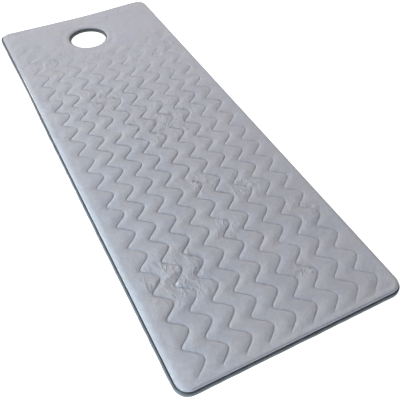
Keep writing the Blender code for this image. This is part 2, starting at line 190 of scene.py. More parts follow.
def start_group(name, inputs, outputs):
    """Empty node group with named sockets; returns the group, its inputs and its output node."""
    group = bpy.data.node_groups.new(name, "ShaderNodeTree")
    for label, kind, value in inputs:
        socket = group.interface.new_socket(label, in_out="INPUT", socket_type="NodeSocket" + kind)
        if value is not None:
            socket.default_value = value
    for label, kind in outputs:
        group.interface.new_socket(label, in_out="OUTPUT", socket_type="NodeSocket" + kind)
    return group, group.nodes.new("NodeGroupInput").outputs, group.nodes.new("NodeGroupOutput")


def use_group(tree, group, **inputs):
    """Place a node group in a material."""
    return add_node(tree, "Group", {"node_tree": group}, **inputs).outputs


# %% [markdown]
# ## Shared effects
#
# Weave, mottling and fluff turn up on several of the fabrics, so each is a group. The weave is two
# crossed sets of ridges. Mottling is soft noise that keeps a large area from looking printed.
# Fluff is very fine noise, stretched a little, like the nap of a brushed cloth.


# %% Weave group
def make_weave_group():
    group, given, result = start_group(
        "Weave", [("Vector", "Vector", None), ("Thread", "Float", 0.001)], [("Height", "Float")])
    axes = add_node(group, "SeparateXYZ", Vector=given["Vector"]).outputs
    step = compute(group, "DIVIDE", math.pi, given["Thread"])
    across = compute(group, "SINE", compute(group, "MULTIPLY", axes["X"], step))
    along = compute(group, "SINE", compute(group, "MULTIPLY", axes["Y"], step))
    upward = compute(group, "SINE", compute(group, "MULTIPLY", axes["Z"], step))
    crossed = compute(group, "MULTIPLY", across, along)
    height = compute(group, "ADD", crossed, compute(group, "MULTIPLY", upward, 0.5))
    shifted = compute(group, "MULTIPLY_ADD", height, 0.5)
    group.nodes[-1].inputs[2].default_value = 0.5
    group.links.new(shifted, result.inputs["Height"])
    return group


WEAVE = make_weave_group()
print("group", WEAVE.name, "with", len(WEAVE.nodes), "nodes")


# %% Mottle and fluff groups
def make_noise_group(name, detail, roughness, stretch):
    group, given, result = start_group(
        name, [("Vector", "Vector", None), ("Size", "Float", 0.05)], [("Amount", "Float")])
    stretched = add_node(group, "VectorMath", {"operation": "MULTIPLY"},
                         in0=given["Vector"], in1=stretch).outputs[0]
    scale = compute(group, "DIVIDE", 1.0, given["Size"])
    speckle = add_node(group, "TexNoise", Vector=stretched, Scale=scale, Detail=detail,
                       Roughness=roughness)
    spread = add_node(group, "MapRange", {"interpolation_type": "SMOOTHSTEP"},
                      Value=speckle.outputs["Fac"], From_Min=0.3, From_Max=0.7)
    group.links.new(spread.outputs["Result"], result.inputs["Amount"])
    return group


MOTTLE = make_noise_group("Mottle", 3.0, 0.55, (1.0, 1.0, 1.0))
FLUFF = make_noise_group("Fluff", 2.0, 0.6, (1.0, 0.7, 1.0))
GRAIN = make_noise_group("Grain", 2.0, 0.5, (1.0, 1.0, 1.0))
BRUSHED = make_noise_group("Brushed", 2.0, 0.6, (1.0, 0.06, 1.0))
print("groups", MOTTLE.name, FLUFF.name, GRAIN.name, BRUSHED.name)


# %% Crease group
def make_crease_group():
    """Short sharp ridges, longer along Y than across."""
    group, given, result = start_group(
        "Creases", [("Vector", "Vector", None), ("Size", "Float", 0.01)], [("Amount", "Float")])
    stretched = add_node(group, "Mapping", {"vector_type": "POINT"}, Vector=given["Vector"],
                         Rotation=(0.0, 0.0, 0.35), Scale=(1.0, 0.50, 1.0)).outputs[0]
    scale = compute(group, "DIVIDE", 1.0, given["Size"])
    speckle = add_node(group, "TexNoise", Vector=stretched, Scale=scale, Detail=0.7, Roughness=0.5)
    away = compute(group, "ABSOLUTE", compute(group, "SUBTRACT", speckle.outputs["Fac"], 0.5))
    ridge = add_node(group, "MapRange", {"interpolation_type": "SMOOTHSTEP"},
                     Value=away, From_Min=0.10, From_Max=0.0)
    group.links.new(ridge.outputs["Result"], result.inputs["Amount"])
    return group


CREASES = make_crease_group()
print("group", CREASES.name)


# %% Cell group
def make_cell_group():
    """Round cells with thin walls, for foam, crumpled foil and anti-slip coats."""
    group, given, result = start_group(
        "Cells", [("Vector", "Vector", None), ("Size", "Float", 0.002)],
        [("Wall", "Float"), ("Tone", "Float")])
    scale = compute(group, "DIVIDE", 1.0, given["Size"])
    cells = add_node(group, "TexVoronoi", {"feature": "DISTANCE_TO_EDGE"}, Vector=given["Vector"],
                     Scale=scale)
    wall = add_node(group, "MapRange", {"interpolation_type": "SMOOTHSTEP"},
                    Value=cells.outputs["Distance"], From_Max=0.22)
    whole = add_node(group, "TexVoronoi", Vector=given["Vector"], Scale=scale)
    tone = add_node(group, "SeparateColor", Color=whole.outputs["Color"])
    group.links.new(wall.outputs["Result"], result.inputs["Wall"])
    group.links.new(tone.outputs[0], result.inputs["Tone"])
    return group


CELLS = make_cell_group()
print("group", CELLS.name)

# %% [markdown]
# ## Finishes
#
# Each finish is a Principled shader fed by the groups above. The colour moves between two close
# tones, the roughness follows the nap, and a Bump node turns weave and fluff into a surface that
# catches the light. What is the same all over a finish is set on the shader's own sockets.


# %% Material starter
def start_material(name, roughness, metallic=0.0, **constants):
    """New material; returns its tree, its shader and object coordinates in metres."""
    made = bpy.data.materials.new(name)
    made.use_nodes = True
    tree = made.node_tree
    shader = tree.nodes["Principled BSDF"]
    shader.inputs["Roughness"].default_value = roughness
    shader.inputs["Metallic"].default_value = metallic
    for key, value in constants.items():
        shader.inputs[key.replace("_", " ")].default_value = value
    place = tree.nodes.new("ShaderNodeTexCoord").outputs["Object"]
    return made, tree, shader, place


def feed_colour(tree, shader, amount, dark, light):
    """Colour that moves from dark to light with an amount from 0 to 1."""
    mix = add_node(tree, "Mix", {"data_type": "RGBA"}, in0=amount, in6=(*dark, 1.0), in7=(*light, 1.0))
    tree.links.new(mix.outputs[2], shader.inputs["Base Color"])
    return mix


def feed_bump(tree, shader, height, distance, strength=0.6):
    bump = add_node(tree, "Bump", Height=height, Distance=distance, Strength=strength)
    tree.links.new(bump.outputs["Normal"], shader.inputs["Normal"])


def feed_roughness(tree, shader, amount, low, high):
    spread = add_node(tree, "MapRange", Value=amount, To_Min=low, To_Max=high)
    tree.links.new(spread.outputs["Result"], shader.inputs["Roughness"])


# %% Quilted face fabric
FACE_DARK, FACE_LIGHT = (0.298, 0.300, 0.345), (0.374, 0.374, 0.414)
FACE_WARM = (1.03, 1.00, 0.955)
# Painted shade: the colour that darkens the fabric along the sewn lines, in the grooves.
FACE_SEAM_SHADE = (0.74, 0.74, 0.765)
CREASE_STRENGTH = 2.5


def tint(tree, base, colour, amount):
    """Multiply a colour by another one, by an amount from 0 to 1."""
    mix = add_node(tree, "Mix", {"data_type": "RGBA", "blend_type": "MULTIPLY"},
                   in0=amount, in6=base, in7=(*colour, 1.0))
    return mix.outputs[2]


def make_face_fabric():
    made, tree, shader, place = start_material("brushed_face_fabric", 0.8, Sheen_Weight=0.2,
                                               Sheen_Roughness=0.45)
    weave = use_group(tree, WEAVE, Vector=place, Thread=0.0011)["Height"]
    fluff = use_group(tree, FLUFF, Vector=place, Size=0.0045)["Amount"]
    nap = use_group(tree, MOTTLE, Vector=place, Size=0.013)["Amount"]
    patch = use_group(tree, MOTTLE, Vector=place, Size=0.14)["Amount"]
    warm = use_group(tree, MOTTLE, Vector=place, Size=0.085)["Amount"]
    fine = compute(tree, "ADD", compute(tree, "MULTIPLY", fluff, 0.45), compute(tree, "MULTIPLY", nap, 0.35))
    tone = compute(tree, "ADD", fine, compute(tree, "MULTIPLY", patch, 0.20))
    colour = feed_colour(tree, shader, tone, FACE_DARK, FACE_LIGHT).outputs[2]
    colour = tint(tree, colour, FACE_WARM, warm)
    # Painted shade along the sewn lines, by the amount stored on the pad's points.
    seam = add_node(tree, "Attribute", {"attribute_name": "seam"}).outputs["Fac"]
    tree.links.new(tint(tree, colour, FACE_SEAM_SHADE, seam), shader.inputs["Base Color"])
    feed_roughness(tree, shader, fluff, 0.72, 0.9)
    creases = use_group(tree, CREASES, Vector=place, Size=0.017)["Amount"]
    crumple = add_node(tree, "Attribute", {"attribute_name": "crumple"}).outputs["Fac"]
    folds = compute(tree, "MULTIPLY", creases, compute(tree, "MULTIPLY", crumple, CREASE_STRENGTH))
    surface = compute(tree, "ADD", compute(tree, "MULTIPLY", weave, 0.25),
                      compute(tree, "MULTIPLY", fluff, 0.5))
    surface = compute(tree, "ADD", surface, compute(tree, "MULTIPLY", nap, 0.7))
    surface = compute(tree, "ADD", surface, folds)
    feed_bump(tree, shader, surface, 0.0006, 0.7)
    return made


face_fabric = make_face_fabric()
print("finish", face_fabric.name)


# %% Binding, base and thread fabrics
# Painted shade on the tape's top inner edge, in the crevice beside the pad.
FOLD_SHADE = (0.34, 0.34, 0.36)


def make_woven(name, dark, light, thread, roughness, bump):
    made, tree, shader, place = start_material(name, roughness, Sheen_Weight=0.15)
    weave = use_group(tree, WEAVE, Vector=place, Thread=thread)["Height"]
    mottle = use_group(tree, MOTTLE, Vector=place, Size=0.03)["Amount"]
    tone = compute(tree, "MULTIPLY", compute(tree, "ADD", weave, mottle), 0.5)
    colour = feed_colour(tree, shader, tone, dark, light).outputs[2]
    # Where the fold attribute is set, the colour is darkened by painted shade.
    fold = add_node(tree, "Attribute", {"attribute_name": "fold"}).outputs["Fac"]
    tree.links.new(tint(tree, colour, FOLD_SHADE, fold), shader.inputs["Base Color"])
    feed_roughness(tree, shader, mottle, roughness - 0.08, roughness + 0.08)
    feed_bump(tree, shader, weave, bump)
    return made


binding_fabric = make_woven("binding_tape", (0.070, 0.076, 0.084), (0.140, 0.149, 0.162), 0.0009, 0.75,
                            0.0002)
rim_fabric = make_woven("face_hole_tape", (0.030, 0.033, 0.038), (0.062, 0.066, 0.073), 0.0009, 0.75,
                        0.0002)
base_fabric = make_woven("base_cloth", (0.020, 0.021, 0.024), (0.042, 0.044, 0.048), 0.0007, 0.8, 0.00015)
quilting_thread = make_woven("quilting_thread", (0.36, 0.37, 0.40), (0.46, 0.47, 0.50), 0.0003, 0.6, 0.0001)
print("finishes", binding_fabric.name, base_fabric.name, quilting_thread.name)

# %% [markdown]
# ## Surfaces from grids
#
# The pad's top is one grid of points. Its columns follow the sewn waves, so every groove lies
# exactly on a column and stays crisp. Where the grid meets a round corner, a formula that turns a
# square into a quarter disc pulls it into shape, and the height of each point then depends only
# on how far it is from the edge, from the face hole and from the nearest sewn line.


# %% Small formulas
def smooth(value, low, high):
    """From 0 at low to 1 at high, with soft ends."""
    t = np.clip((value - low) / (high - low), 0.0, 1.0)
    return t * t * (3.0 - 2.0 * t)


def round_corners(points, half_x, half_y, radius):
    """Pull the corners of a grid on a rectangle into round ones."""
    x, y = points[:, 0], points[:, 1]
    a = np.clip(np.abs(x) - (half_x - radius), 0.0, radius)
    b = np.clip(np.abs(y) - (half_y - radius), 0.0, radius)
    corner = (a > 0) & (b > 0)
    round_a = a * np.sqrt(1.0 - b * b / (2 * radius * radius))
    round_b = b * np.sqrt(1.0 - a * a / (2 * radius * radius))
    points[:, 0] = np.where(corner, np.sign(x) * (half_x - radius + round_a), x)
    points[:, 1] = np.where(corner, np.sign(y) * (half_y - radius + round_b), y)
    return points


def edge_distance(x, y, half_x, half_y, radius):
    """Distance inwards from the outline of a rectangle with round corners."""
    a = np.abs(x) - (half_x - radius)
    b = np.abs(y) - (half_y - radius)
    outside = np.hypot(np.maximum(a, 0.0), np.maximum(b, 0.0))
    inside = np.minimum(np.maximum(a, b), 0.0)
    return radius - outside - inside


WAIST, WAIST_Y, WAIST_REACH = 0.003, 0.46, 0.17
HEAD_BOW, HEAD_BOW_START = 0.005, 0.82
HEAD_PULL = 0.012


def settle(points):
    """Drift of the soft outline: a slight waist on the left, and a head end drawn out on the right."""
    x, y = points[:, 0].copy(), points[:, 1].copy()
    left = np.clip(-x / HALF_X, 0.0, 1.0) ** 2
    points[:, 0] += WAIST * left * np.exp(-((y - WAIST_Y) / WAIST_REACH) ** 2)
    points[:, 1] -= HEAD_BOW * smooth(y, HEAD_BOW_START, HALF_Y) * (1.0 - (x / HALF_X) ** 2)
    points[:, 1] += HEAD_PULL * smooth(x, 0.02, 0.30) * smooth(y, 0.80, 0.93)
    return points


print("waist", WAIST, "m, head bow", HEAD_BOW, "m")


# %% Mesh helpers
def make_piece(name, points, faces, material, body=None, smooth_shading=True):
    """Object from points and faces; it rides on a body if one is given."""
    mesh = bpy.data.meshes.new(name)
    mesh.from_pydata([tuple(p) for p in points], [], faces)
    mesh.update()
    mesh.materials.append(material)
    if smooth_shading:
        mesh.shade_smooth()
    piece = bpy.data.objects.new(name, mesh)
    bpy.context.scene.collection.objects.link(piece)
    if body:
        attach(piece, body)
    return piece


def bend_at_fold(piece):
    """Bake the piece's place into its mesh."""
    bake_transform(piece)


def grid_quads(count, width, skip=lambda r, c: False):
    """Quads of a grid with a number of rows and columns of points, row by row."""
    return [(r * width + c, r * width + c + 1, (r + 1) * width + c + 1, (r + 1) * width + c)
            for r in range(count - 1) for c in range(width - 1) if not skip(r, c)]


def loop_strip(first, second):
    """Quads between two closed loops of the same length."""
    count = len(first)
    return [(first[i], first[(i + 1) % count], second[(i + 1) % count], second[i]) for i in range(count)]


# %% [markdown]
# ## The sewn waves
#
# The pad is sewn through in long parallel lines that swing from side to side. Each swing is close
# to a cosine. A little of its second harmonic makes the left crests sharper than the right ones,
# and a little of its third straightens the flanks.

# %% The line of sewing
WAVE_LENGTH = 0.0918
WAVE_REACH = 0.0200
WAVE_CREST_Y = -0.8685
LINE_SPACING = 0.0682
FIRST_LINE_X = -0.332
LINE_COUNT = 10
LINE_START_Y = -HALF_Y + 0.024
LINE_END_Y = HALF_Y - 0.030


def wave(y):
    phase = 2 * np.pi * (y - WAVE_CREST_Y) / WAVE_LENGTH
    return WAVE_REACH * (np.cos(phase) - 0.07 * np.cos(2 * phase) + 0.03 * np.cos(3 * phase))


def sewn_line(number, step):
    """Points along one sewn line."""
    y = np.arange(LINE_START_Y, LINE_END_Y, step)
    return np.stack([FIRST_LINE_X + number * LINE_SPACING + wave(y), y], axis=1)


def line_tree():
    """Search tree of all the sewn lines, to find the nearest one."""
    lines = np.concatenate([sewn_line(n, LINE_STEP) for n in range(LINE_COUNT)])
    tree = kdtree.KDTree(len(lines))
    for index, (x, y) in enumerate(lines):
        tree.insert((x, y, 0.0), index)
    tree.balance()
    return tree


LINE_STEP = 0.0015
LINES = line_tree()
print(LINE_COUNT, "sewn lines,", LINE_SPACING, "m apart")

# %% [markdown]
# ## Height of the pad
#
# From the seam the pad swells out a little over the binding, then rises and rounds over into the
# flat top. The roll is tight at the foot end and wider on the right and at the head end. On the
# left, where the pad lies slack, it is a soft slope with only a small roll at its foot.
# Each sewn line pulls the top down into a groove: a narrow crease at the thread inside a wider
# dip. Towards the head end and round the face hole the sewing is slacker, so the grooves fade.

# %% Rolled edge
ROLL_LEFT, ROLL_RIGHT, ROLL_FOOT, ROLL_HEAD, ROLL_HOLE = 0.0070, 0.014, 0.0060, 0.017, 0.024
OVER_LEFT, OVER_RIGHT, OVER_FOOT, OVER_HEAD, OVER_HOLE = 0.0002, 0.0068, 0.0026, 0.0040, 0.0030
SLACK_LEFT, SLACK_REACH, SLACK_EASE = 0.80, 0.0150, 0.30
OVER_FADE = 0.040
LIP_LEFT = 0.0004
SEAM_HEIGHT = band_high.z - 0.0012


def rounded_rise(distance, reach):
    """0 at the seam, 1 from reach inwards, along a quarter ellipse."""
    t = np.clip(distance / reach, 0.0, 1.0)
    return np.sqrt(1.0 - (1.0 - t) ** 2)


def edge_normal(x, y):
    """Outward direction of the outline nearest to each point."""
    a = np.abs(x) - (HALF_X - COVER_CORNER)
    b = np.abs(y) - (HALF_Y - COVER_CORNER)
    corner = (a > 0) & (b > 0)
    length = np.maximum(np.hypot(a, b), 1e-9)
    nx = np.where(corner, a / length, np.where(a > b, 1.0, 0.0))
    ny = np.where(corner, b / length, np.where(a > b, 0.0, 1.0))
    return nx * np.sign(x), ny * np.sign(y)


def by_side(nx, ny, left, right, foot, head):
    """Value that belongs to the side a direction points to, mixed in the corners."""
    return nx ** 2 * np.where(nx < 0, left, right) + ny ** 2 * np.where(ny < 0, foot, head)


def edge_rise(x, y, edge):
    """How far the pad has risen at a distance from its edge: a roll, and on the left a slack slope too."""
    nx, ny = edge_normal(x, y)
    edge = np.clip(edge - by_side(nx, ny, LIP_LEFT, 0.0, 0.0, 0.0), 0.0, None)
    roll = rounded_rise(edge, by_side(nx, ny, ROLL_LEFT, ROLL_RIGHT, ROLL_FOOT, ROLL_HEAD))
    slack = by_side(nx, ny, SLACK_LEFT, 0.0, 0.0, 0.0)
    slope = -SLACK_EASE * np.logaddexp(-edge / SLACK_REACH / SLACK_EASE, -1.0 / SLACK_EASE)
    return (1.0 - slack) * roll + slack * slope


def swell(points):
    """Push the rolled edge out over the bindings, above their top."""
    x, y, z = points.T
    edge = edge_distance(x, y, HALF_X, HALF_Y, COVER_CORNER)
    nx, ny = edge_normal(x, y)
    reach = by_side(nx, ny, ROLL_LEFT, ROLL_RIGHT, ROLL_FOOT, ROLL_HEAD)
    over = by_side(nx, ny, OVER_LEFT, OVER_RIGHT, OVER_FOOT, OVER_HEAD)
    push = over * smooth(rounded_rise(edge, reach), 0.0, 0.36) * (1.0 - smooth(edge, 0.0, OVER_FADE))
    away = np.hypot(x - HOLE_X, y - HOLE_Y)
    hole = np.clip(away - COVER_HOLE, 0.0, None)
    draw = OVER_HOLE * smooth(rounded_rise(hole, ROLL_HOLE), 0.0, 0.36)
    draw = draw * (1.0 - smooth(hole, 0.0, OVER_FADE))
    x = x + nx * push - (x - HOLE_X) / away * draw
    y = y + ny * push - (y - HOLE_Y) / away * draw
    return np.column_stack([x, y, z])


print("roll", ROLL_LEFT, "m wide on the left,", ROLL_FOOT, "m at the foot end")


# %% Grooves, puckers and creases
PILLOW_RISE = 0.0008
GROOVE_DEPTH, GROOVE_REACH = 0.0029, 0.0045
CREASE_DEPTH, CREASE_REACH = 0.0008, 0.0013
PUCKER, PUCKER_LENGTH, PUCKER_REACH = 0.0010, 0.0085, 0.0100
CRUMPLE, CRUMPLE_SIZE = 0.0034, 0.023
SWAY, SWAY_SIZE = 0.0010, 0.115
RUMPLE = 0.0008
FOOT_CREASE, FOOT_CREASE_AT, FOOT_CREASE_WIDTH = 0.0009, 0.0185, 0.0045
FADE_HEAD, FADE_RIGHT, FADE_FOOT = 0.90, 0.26, 0.16
SEAM_SHADE_REACH = 0.0018
# middle across and along, reach, strength
CRUMPLED_PATCHES = ((-0.20, -0.62, 0.090, 1.3), (0.02, -0.31, 0.050, 1.3), (0.15, -0.38, 0.055, 1.3),
                    (0.01, -0.51, 0.055, 1.0), (0.06, 0.04, 0.130, 1.3), (-0.10, 0.26, 0.120, 0.9),
                    (0.13, -0.76, 0.045, 0.7), (0.28, -0.57, 0.050, 1.0), (0.25, 0.50, 0.090, 0.7),
                    (-0.22, 0.62, 0.110, 0.7))


def field(points, size, seed):
    """Smooth noise from about -1 to 1 at flat points."""
    return np.array([noise.noise((px / size, py / size, seed)) for px, py in points]) * 1.6


def groove_strength(x, y, edge, hole):
    """How deep the grooves are here, from 0 to 1."""
    tight = 1.0 - FADE_HEAD * smooth(y + 0.25 * x, 0.12, 0.86)
    tight *= 1.0 - FADE_RIGHT * smooth(x, -0.05, 0.28)
    tight *= 1.0 - FADE_FOOT * smooth(-y, 0.60, 0.92)
    flat = np.column_stack([x, y])
    tight *= 1.0 + 0.16 * field(flat, 0.12, 12.0) + 0.40 * smooth(y, -0.10, 0.40) * field(flat, 0.045, 14.0)
    inwards = edge - 0.020 * by_side(*edge_normal(x, y), 1.0, 0.0, 0.0, 0.0)
    return np.clip(tight, 0.0, None) * smooth(inwards, 0.010, 0.034) * smooth(hole, 0.010, 0.150)


def puckers(nearest, distance):
    """Small folds that run away from the thread, one every few stitches."""
    heights = [noise.noise((index * LINE_STEP / PUCKER_LENGTH, d / 0.02, 0.0))
               for index, d in zip(nearest, distance)]
    return PUCKER * np.array(heights) * np.exp(-distance / PUCKER_REACH)


def crumpled(points):
    """Where the fabric is crumpled, from 0 to 1: in a few patches with ragged outlines."""
    patch = np.zeros(len(points))
    for x, y, reach, strength in CRUMPLED_PATCHES:
        away = np.hypot(points[:, 0] - x, points[:, 1] - y) / reach
        patch = np.maximum(patch, strength * np.exp(-away ** 2))
    return np.clip(patch * (0.75 + 0.9 * field(points, 0.03, 3.0)), 0.0, 1.1)


def crumples(points, patch):
    """Sharp small creases that run mostly along the mat, in patches only."""
    turned = points @ np.array([[1.0, -0.10], [0.35, 0.42]])
    ridge = 1.0 - np.abs(field(turned, CRUMPLE_SIZE, 8.0))
    return CRUMPLE * patch * (np.clip(ridge, 0.0, 1.0) ** 3 - 0.35)


def rumples(points):
    """Low soft bumps where the pad lies slack, a little longer on one slant."""
    turned = points @ np.array([[0.75, -0.66], [0.50, 0.75]])
    return field(turned, 0.034, 17.0) + 0.5 * field(points, 0.017, 19.0)


def foot_crease(x, y):
    """Soft crease beside the foot edge, deeper towards the right."""
    near = (y + HALF_Y - FOOT_CREASE_AT) / FOOT_CREASE_WIDTH
    return FOOT_CREASE * np.exp(-near ** 2) * smooth(x, -0.20, 0.12) * smooth(HALF_X - x, 0.010, 0.035)


def pad_height(points):
    """Height of the pad's top before the cloth settles, the painted shade beside the thread, and how
    crumpled it is.
    """
    x, y = points[:, 0], points[:, 1]
    edge = edge_distance(x, y, HALF_X, HALF_Y, COVER_CORNER)
    hole = np.hypot(x - HOLE_X, y - HOLE_Y) - COVER_HOLE
    rise = edge_rise(x, y, edge) * rounded_rise(hole, ROLL_HOLE)
    found = [LINES.find((px, py, 0.0)) for px, py in zip(x, y)]
    near = np.array([item[2] for item in found])
    strength = groove_strength(x, y, edge, hole)
    dip = GROOVE_DEPTH * np.exp(-near / GROOVE_REACH) * strength
    thread = np.exp(-(near / CREASE_REACH) ** 2) * smooth(edge, 0.016, 0.030) * (1.0 - smooth(y, 0.0, 0.5))
    dip += CREASE_DEPTH * np.exp(-(near / CREASE_REACH) ** 2) * np.maximum(strength, 0.7 * thread)
    open_area = smooth(edge, 0.004, 0.030) * smooth(hole, 0.004, 0.030)
    soft = puckers([item[1] for item in found], near) * strength
    patch = open_area * crumpled(points)
    soft += crumples(points, patch) + open_area * SWAY * (field(points, SWAY_SIZE, 1.0) - 0.6)
    soft += open_area * RUMPLE * (0.25 + 0.75 * smooth(y, -0.25, 0.35)) * (rumples(points) - 0.5)
    level = PAD_TOP - PILLOW_RISE * smooth(edge, 0.004, 0.030) * smooth(hole, 0.004, 0.030)
    height = SEAM_HEIGHT + (level - SEAM_HEIGHT) * rise - dip + soft - foot_crease(x, y)
    # Painted shade beside the thread, strongest where the groove is deepest.
    seam = strength ** 1.3 * np.exp(-(near / SEAM_SHADE_REACH) ** 2)
    return height, seam, patch


print("groove", round(GROOVE_DEPTH + CREASE_DEPTH, 4), "m deep at the thread")


# %% Rows and columns
RIM, RIM_STEPS = 0.018, 12


def edge_steps(reach, count):
    """Distances from the edge, packed where the roll is steep."""
    return reach * (1.0 - np.cos(np.linspace(0.0, math.pi / 2, count)))


def pad_columns():
    """Places of the columns across the pad: packed beside each line, and along both edges."""
    offsets = np.array([0.0, 0.0011, 0.0024, 0.0042, 0.0068, 0.0102, 0.0142, 0.0188, 0.0238, 0.0290])
    beside = np.concatenate([-offsets[:0:-1], offsets, [LINE_SPACING / 2]])
    inner = [FIRST_LINE_X + n * LINE_SPACING + beside for n in range(1, LINE_COUNT)]
    inner = np.concatenate(inner)
    left = np.arange(-HALF_X + RIM, inner[0] - 0.002, 0.0026)
    inner = inner[inner < HALF_X - RIM - 0.001]
    rim = edge_steps(RIM, RIM_STEPS)
    return np.concatenate([rim[:-1] - HALF_X, left, inner, (HALF_X - rim)[::-1]])


def pad_rows():
    """Places of the rows along the pad: 20 to a wave, and packed at both ends."""
    step = WAVE_LENGTH / 20
    rim = edge_steps(RIM, RIM_STEPS)
    start, end = -HALF_Y + RIM, HALF_Y - RIM
    inner = np.linspace(start, end, round((end - start) / step) + 1)
    return np.concatenate([rim[:-1] - HALF_Y, inner, (HALF_Y - rim)[-2::-1]])


columns, rows = pad_columns(), pad_rows()
print(len(columns), "columns and", len(rows), "rows")

# %% [markdown]
# ## Letting the fabric settle
#
# A formula gives neat grooves, but real quilting swells between its seams and wrinkles where the
# cloth has a little too much length. A cloth simulation does that: a sheet is pinned along the
# sewn lines and the edges, air pressure lifts it from below, and in some patches it is just over
# one percent too long, so it buckles there. Only the change in height is kept. It is read off the
# sheet's even grid and added to the pad, so the fine grid keeps its crisp seams.

# %% Cloth sheet
SHEET_COLUMNS, SHEET_ROWS = 13, 20
SHEET_MARGIN = 0.007
SHEET_FRAMES = 14
SHEET_PRESSURE = 2.6
SHEET_SPARE = 0.012
SHEET_STEP_X, SHEET_STEP_Y = LINE_SPACING / SHEET_COLUMNS, WAVE_LENGTH / SHEET_ROWS


def sheet_axes():
    """Even steps across and along the sheet, with a column on every sewn line."""
    first = -math.floor((FIRST_LINE_X + HALF_X - SHEET_MARGIN) / SHEET_STEP_X)
    last = math.floor((HALF_X - SHEET_MARGIN - FIRST_LINE_X) / SHEET_STEP_X)
    across = FIRST_LINE_X + SHEET_STEP_X * np.arange(first, last + 1)
    count = math.floor(2 * (HALF_Y - SHEET_MARGIN) / SHEET_STEP_Y) + 1
    along = SHEET_STEP_Y * (np.arange(count) - (count - 1) / 2)
    return across, along


def calm(across):
    """How far the columns swing with the waves: fully inside, not at all at the edges."""
    return smooth(HALF_X - np.abs(across), 0.0, 0.052)


def set_weights(piece, name, weights):
    group = piece.vertex_groups.new(name=name)
    steps = np.round(weights * 20).astype(int)
    for step in range(1, 21):
        chosen = np.flatnonzero(steps == step)
        if len(chosen):
            group.add([int(i) for i in chosen], step / 20, "REPLACE")


def make_sheet(across, along):
    """Sheet object with its pins and its spare length, not yet settled."""
    x = across[None, :] + wave(along)[:, None] * calm(across)[None, :]
    y = np.repeat(along[:, None], len(across), axis=1)
    flat = np.stack([x.ravel(), y.ravel()], axis=1)
    x, y = flat.T
    edge = edge_distance(x, y, HALF_X, HALF_Y, COVER_CORNER)
    hole = np.hypot(x - HOLE_X, y - HOLE_Y) - COVER_HOLE
    near = np.array([LINES.find((px, py, 0.0))[2] for px, py in flat])
    strength = groove_strength(x, y, edge, hole)
    dip = (GROOVE_DEPTH + CREASE_DEPTH) * np.exp(-near / GROOVE_REACH) * strength
    height = 0.0004 * field(flat, 0.024, 5.0) - dip
    faces = grid_quads(len(along), len(across))
    sheet = make_piece("settling_sheet", np.column_stack([flat, height]), faces, face_fabric)
    rim = np.maximum(1.0 - smooth(edge, 0.010, 0.024), 1.0 - smooth(hole, 0.006, 0.040))
    sewn = np.where(near < 0.0008, np.clip(strength * 1.4, 0.0, 1.0), 0.0)
    set_weights(sheet, "pins", np.clip(np.maximum(rim, sewn), 0.0, 1.0))
    set_weights(sheet, "spare", smooth(field(flat, 0.15, 3.0), -0.35, 0.75))
    return sheet, height


def settle_sheet(sheet):
    """Run the cloth and give the height of every point at the end."""
    cloth = sheet.modifiers.new("cloth", "CLOTH")
    fabric = cloth.settings
    fabric.quality, fabric.mass, fabric.air_damping = 5, 0.3, 2.0
    fabric.tension_stiffness = fabric.compression_stiffness = 15.0
    fabric.shear_stiffness, fabric.bending_stiffness = 5.0, 0.7
    fabric.vertex_group_mass, fabric.vertex_group_shrink = "pins", "spare"
    fabric.shrink_min, fabric.shrink_max = -0.001, -SHEET_SPARE
    fabric.use_pressure, fabric.uniform_pressure_force = True, SHEET_PRESSURE
    fabric.effector_weights.gravity = 0.0
    cloth.collision_settings.use_collision = False
    cloth.point_cache.frame_end = SHEET_FRAMES + 1
    for frame_number in range(1, SHEET_FRAMES + 1):
        bpy.context.scene.frame_set(frame_number)
    settled = sheet.evaluated_get(bpy.context.evaluated_depsgraph_get()).data
    places = np.empty(3 * len(settled.vertices))
    settled.vertices.foreach_get("co", places)
    bpy.context.scene.frame_set(1)
    return places[2::3]


def settled_lift():
    """Change in height over the sheet's grid, as rows by columns."""
    across, along = sheet_axes()
    sheet, height = make_sheet(across, along)
    lift = (settle_sheet(sheet) - height).reshape(len(along), len(across))
    mesh = sheet.data
    bpy.data.objects.remove(sheet)
    bpy.data.meshes.remove(mesh)
    return across, along, lift


sheet_across, sheet_along, sheet_lift = settled_lift()
print("cloth lift from", round(sheet_lift.min(), 4), "to", round(sheet_lift.max(), 4), "m")


# %% Reading the lift between the sheet's points
def cubic_weights(t):
    """Catmull-Rom weights of the four neighbours."""
    return (0.5 * (-t + 2 * t ** 2 - t ** 3), 0.5 * (2 - 5 * t ** 2 + 3 * t ** 3),
            0.5 * (t + 4 * t ** 2 - 3 * t ** 3), 0.5 * (-t ** 2 + t ** 3))


def lift_at(points):
    """Lift at flat points: undo the swing of the columns, then read the even grid smoothly."""
    x, y = points[:, 0], points[:, 1]
    across = x.copy()
    for _ in range(12):
        across = x - wave(y) * calm(across)
    c = (across - sheet_across[0]) / SHEET_STEP_X
    r = (y - sheet_along[0]) / SHEET_STEP_Y
    last_row, last_column = sheet_lift.shape[0] - 1, sheet_lift.shape[1] - 1
    c, r = np.clip(c, 0.0, last_column), np.clip(r, 0.0, last_row)
    c0, r0 = np.floor(c).astype(int), np.floor(r).astype(int)
    total = np.zeros(len(points))
    for i, weight_r in enumerate(cubic_weights(r - r0)):
        for j, weight_c in enumerate(cubic_weights(c - c0)):
            row = np.clip(r0 + i - 1, 0, last_row)
            column = np.clip(c0 + j - 1, 0, last_column)
            total += weight_r * weight_c * sheet_lift[row, column]
    return total


PAD_LIMIT = PAD_TOP + 0.0007
LIMIT_SOFTNESS = 0.0006


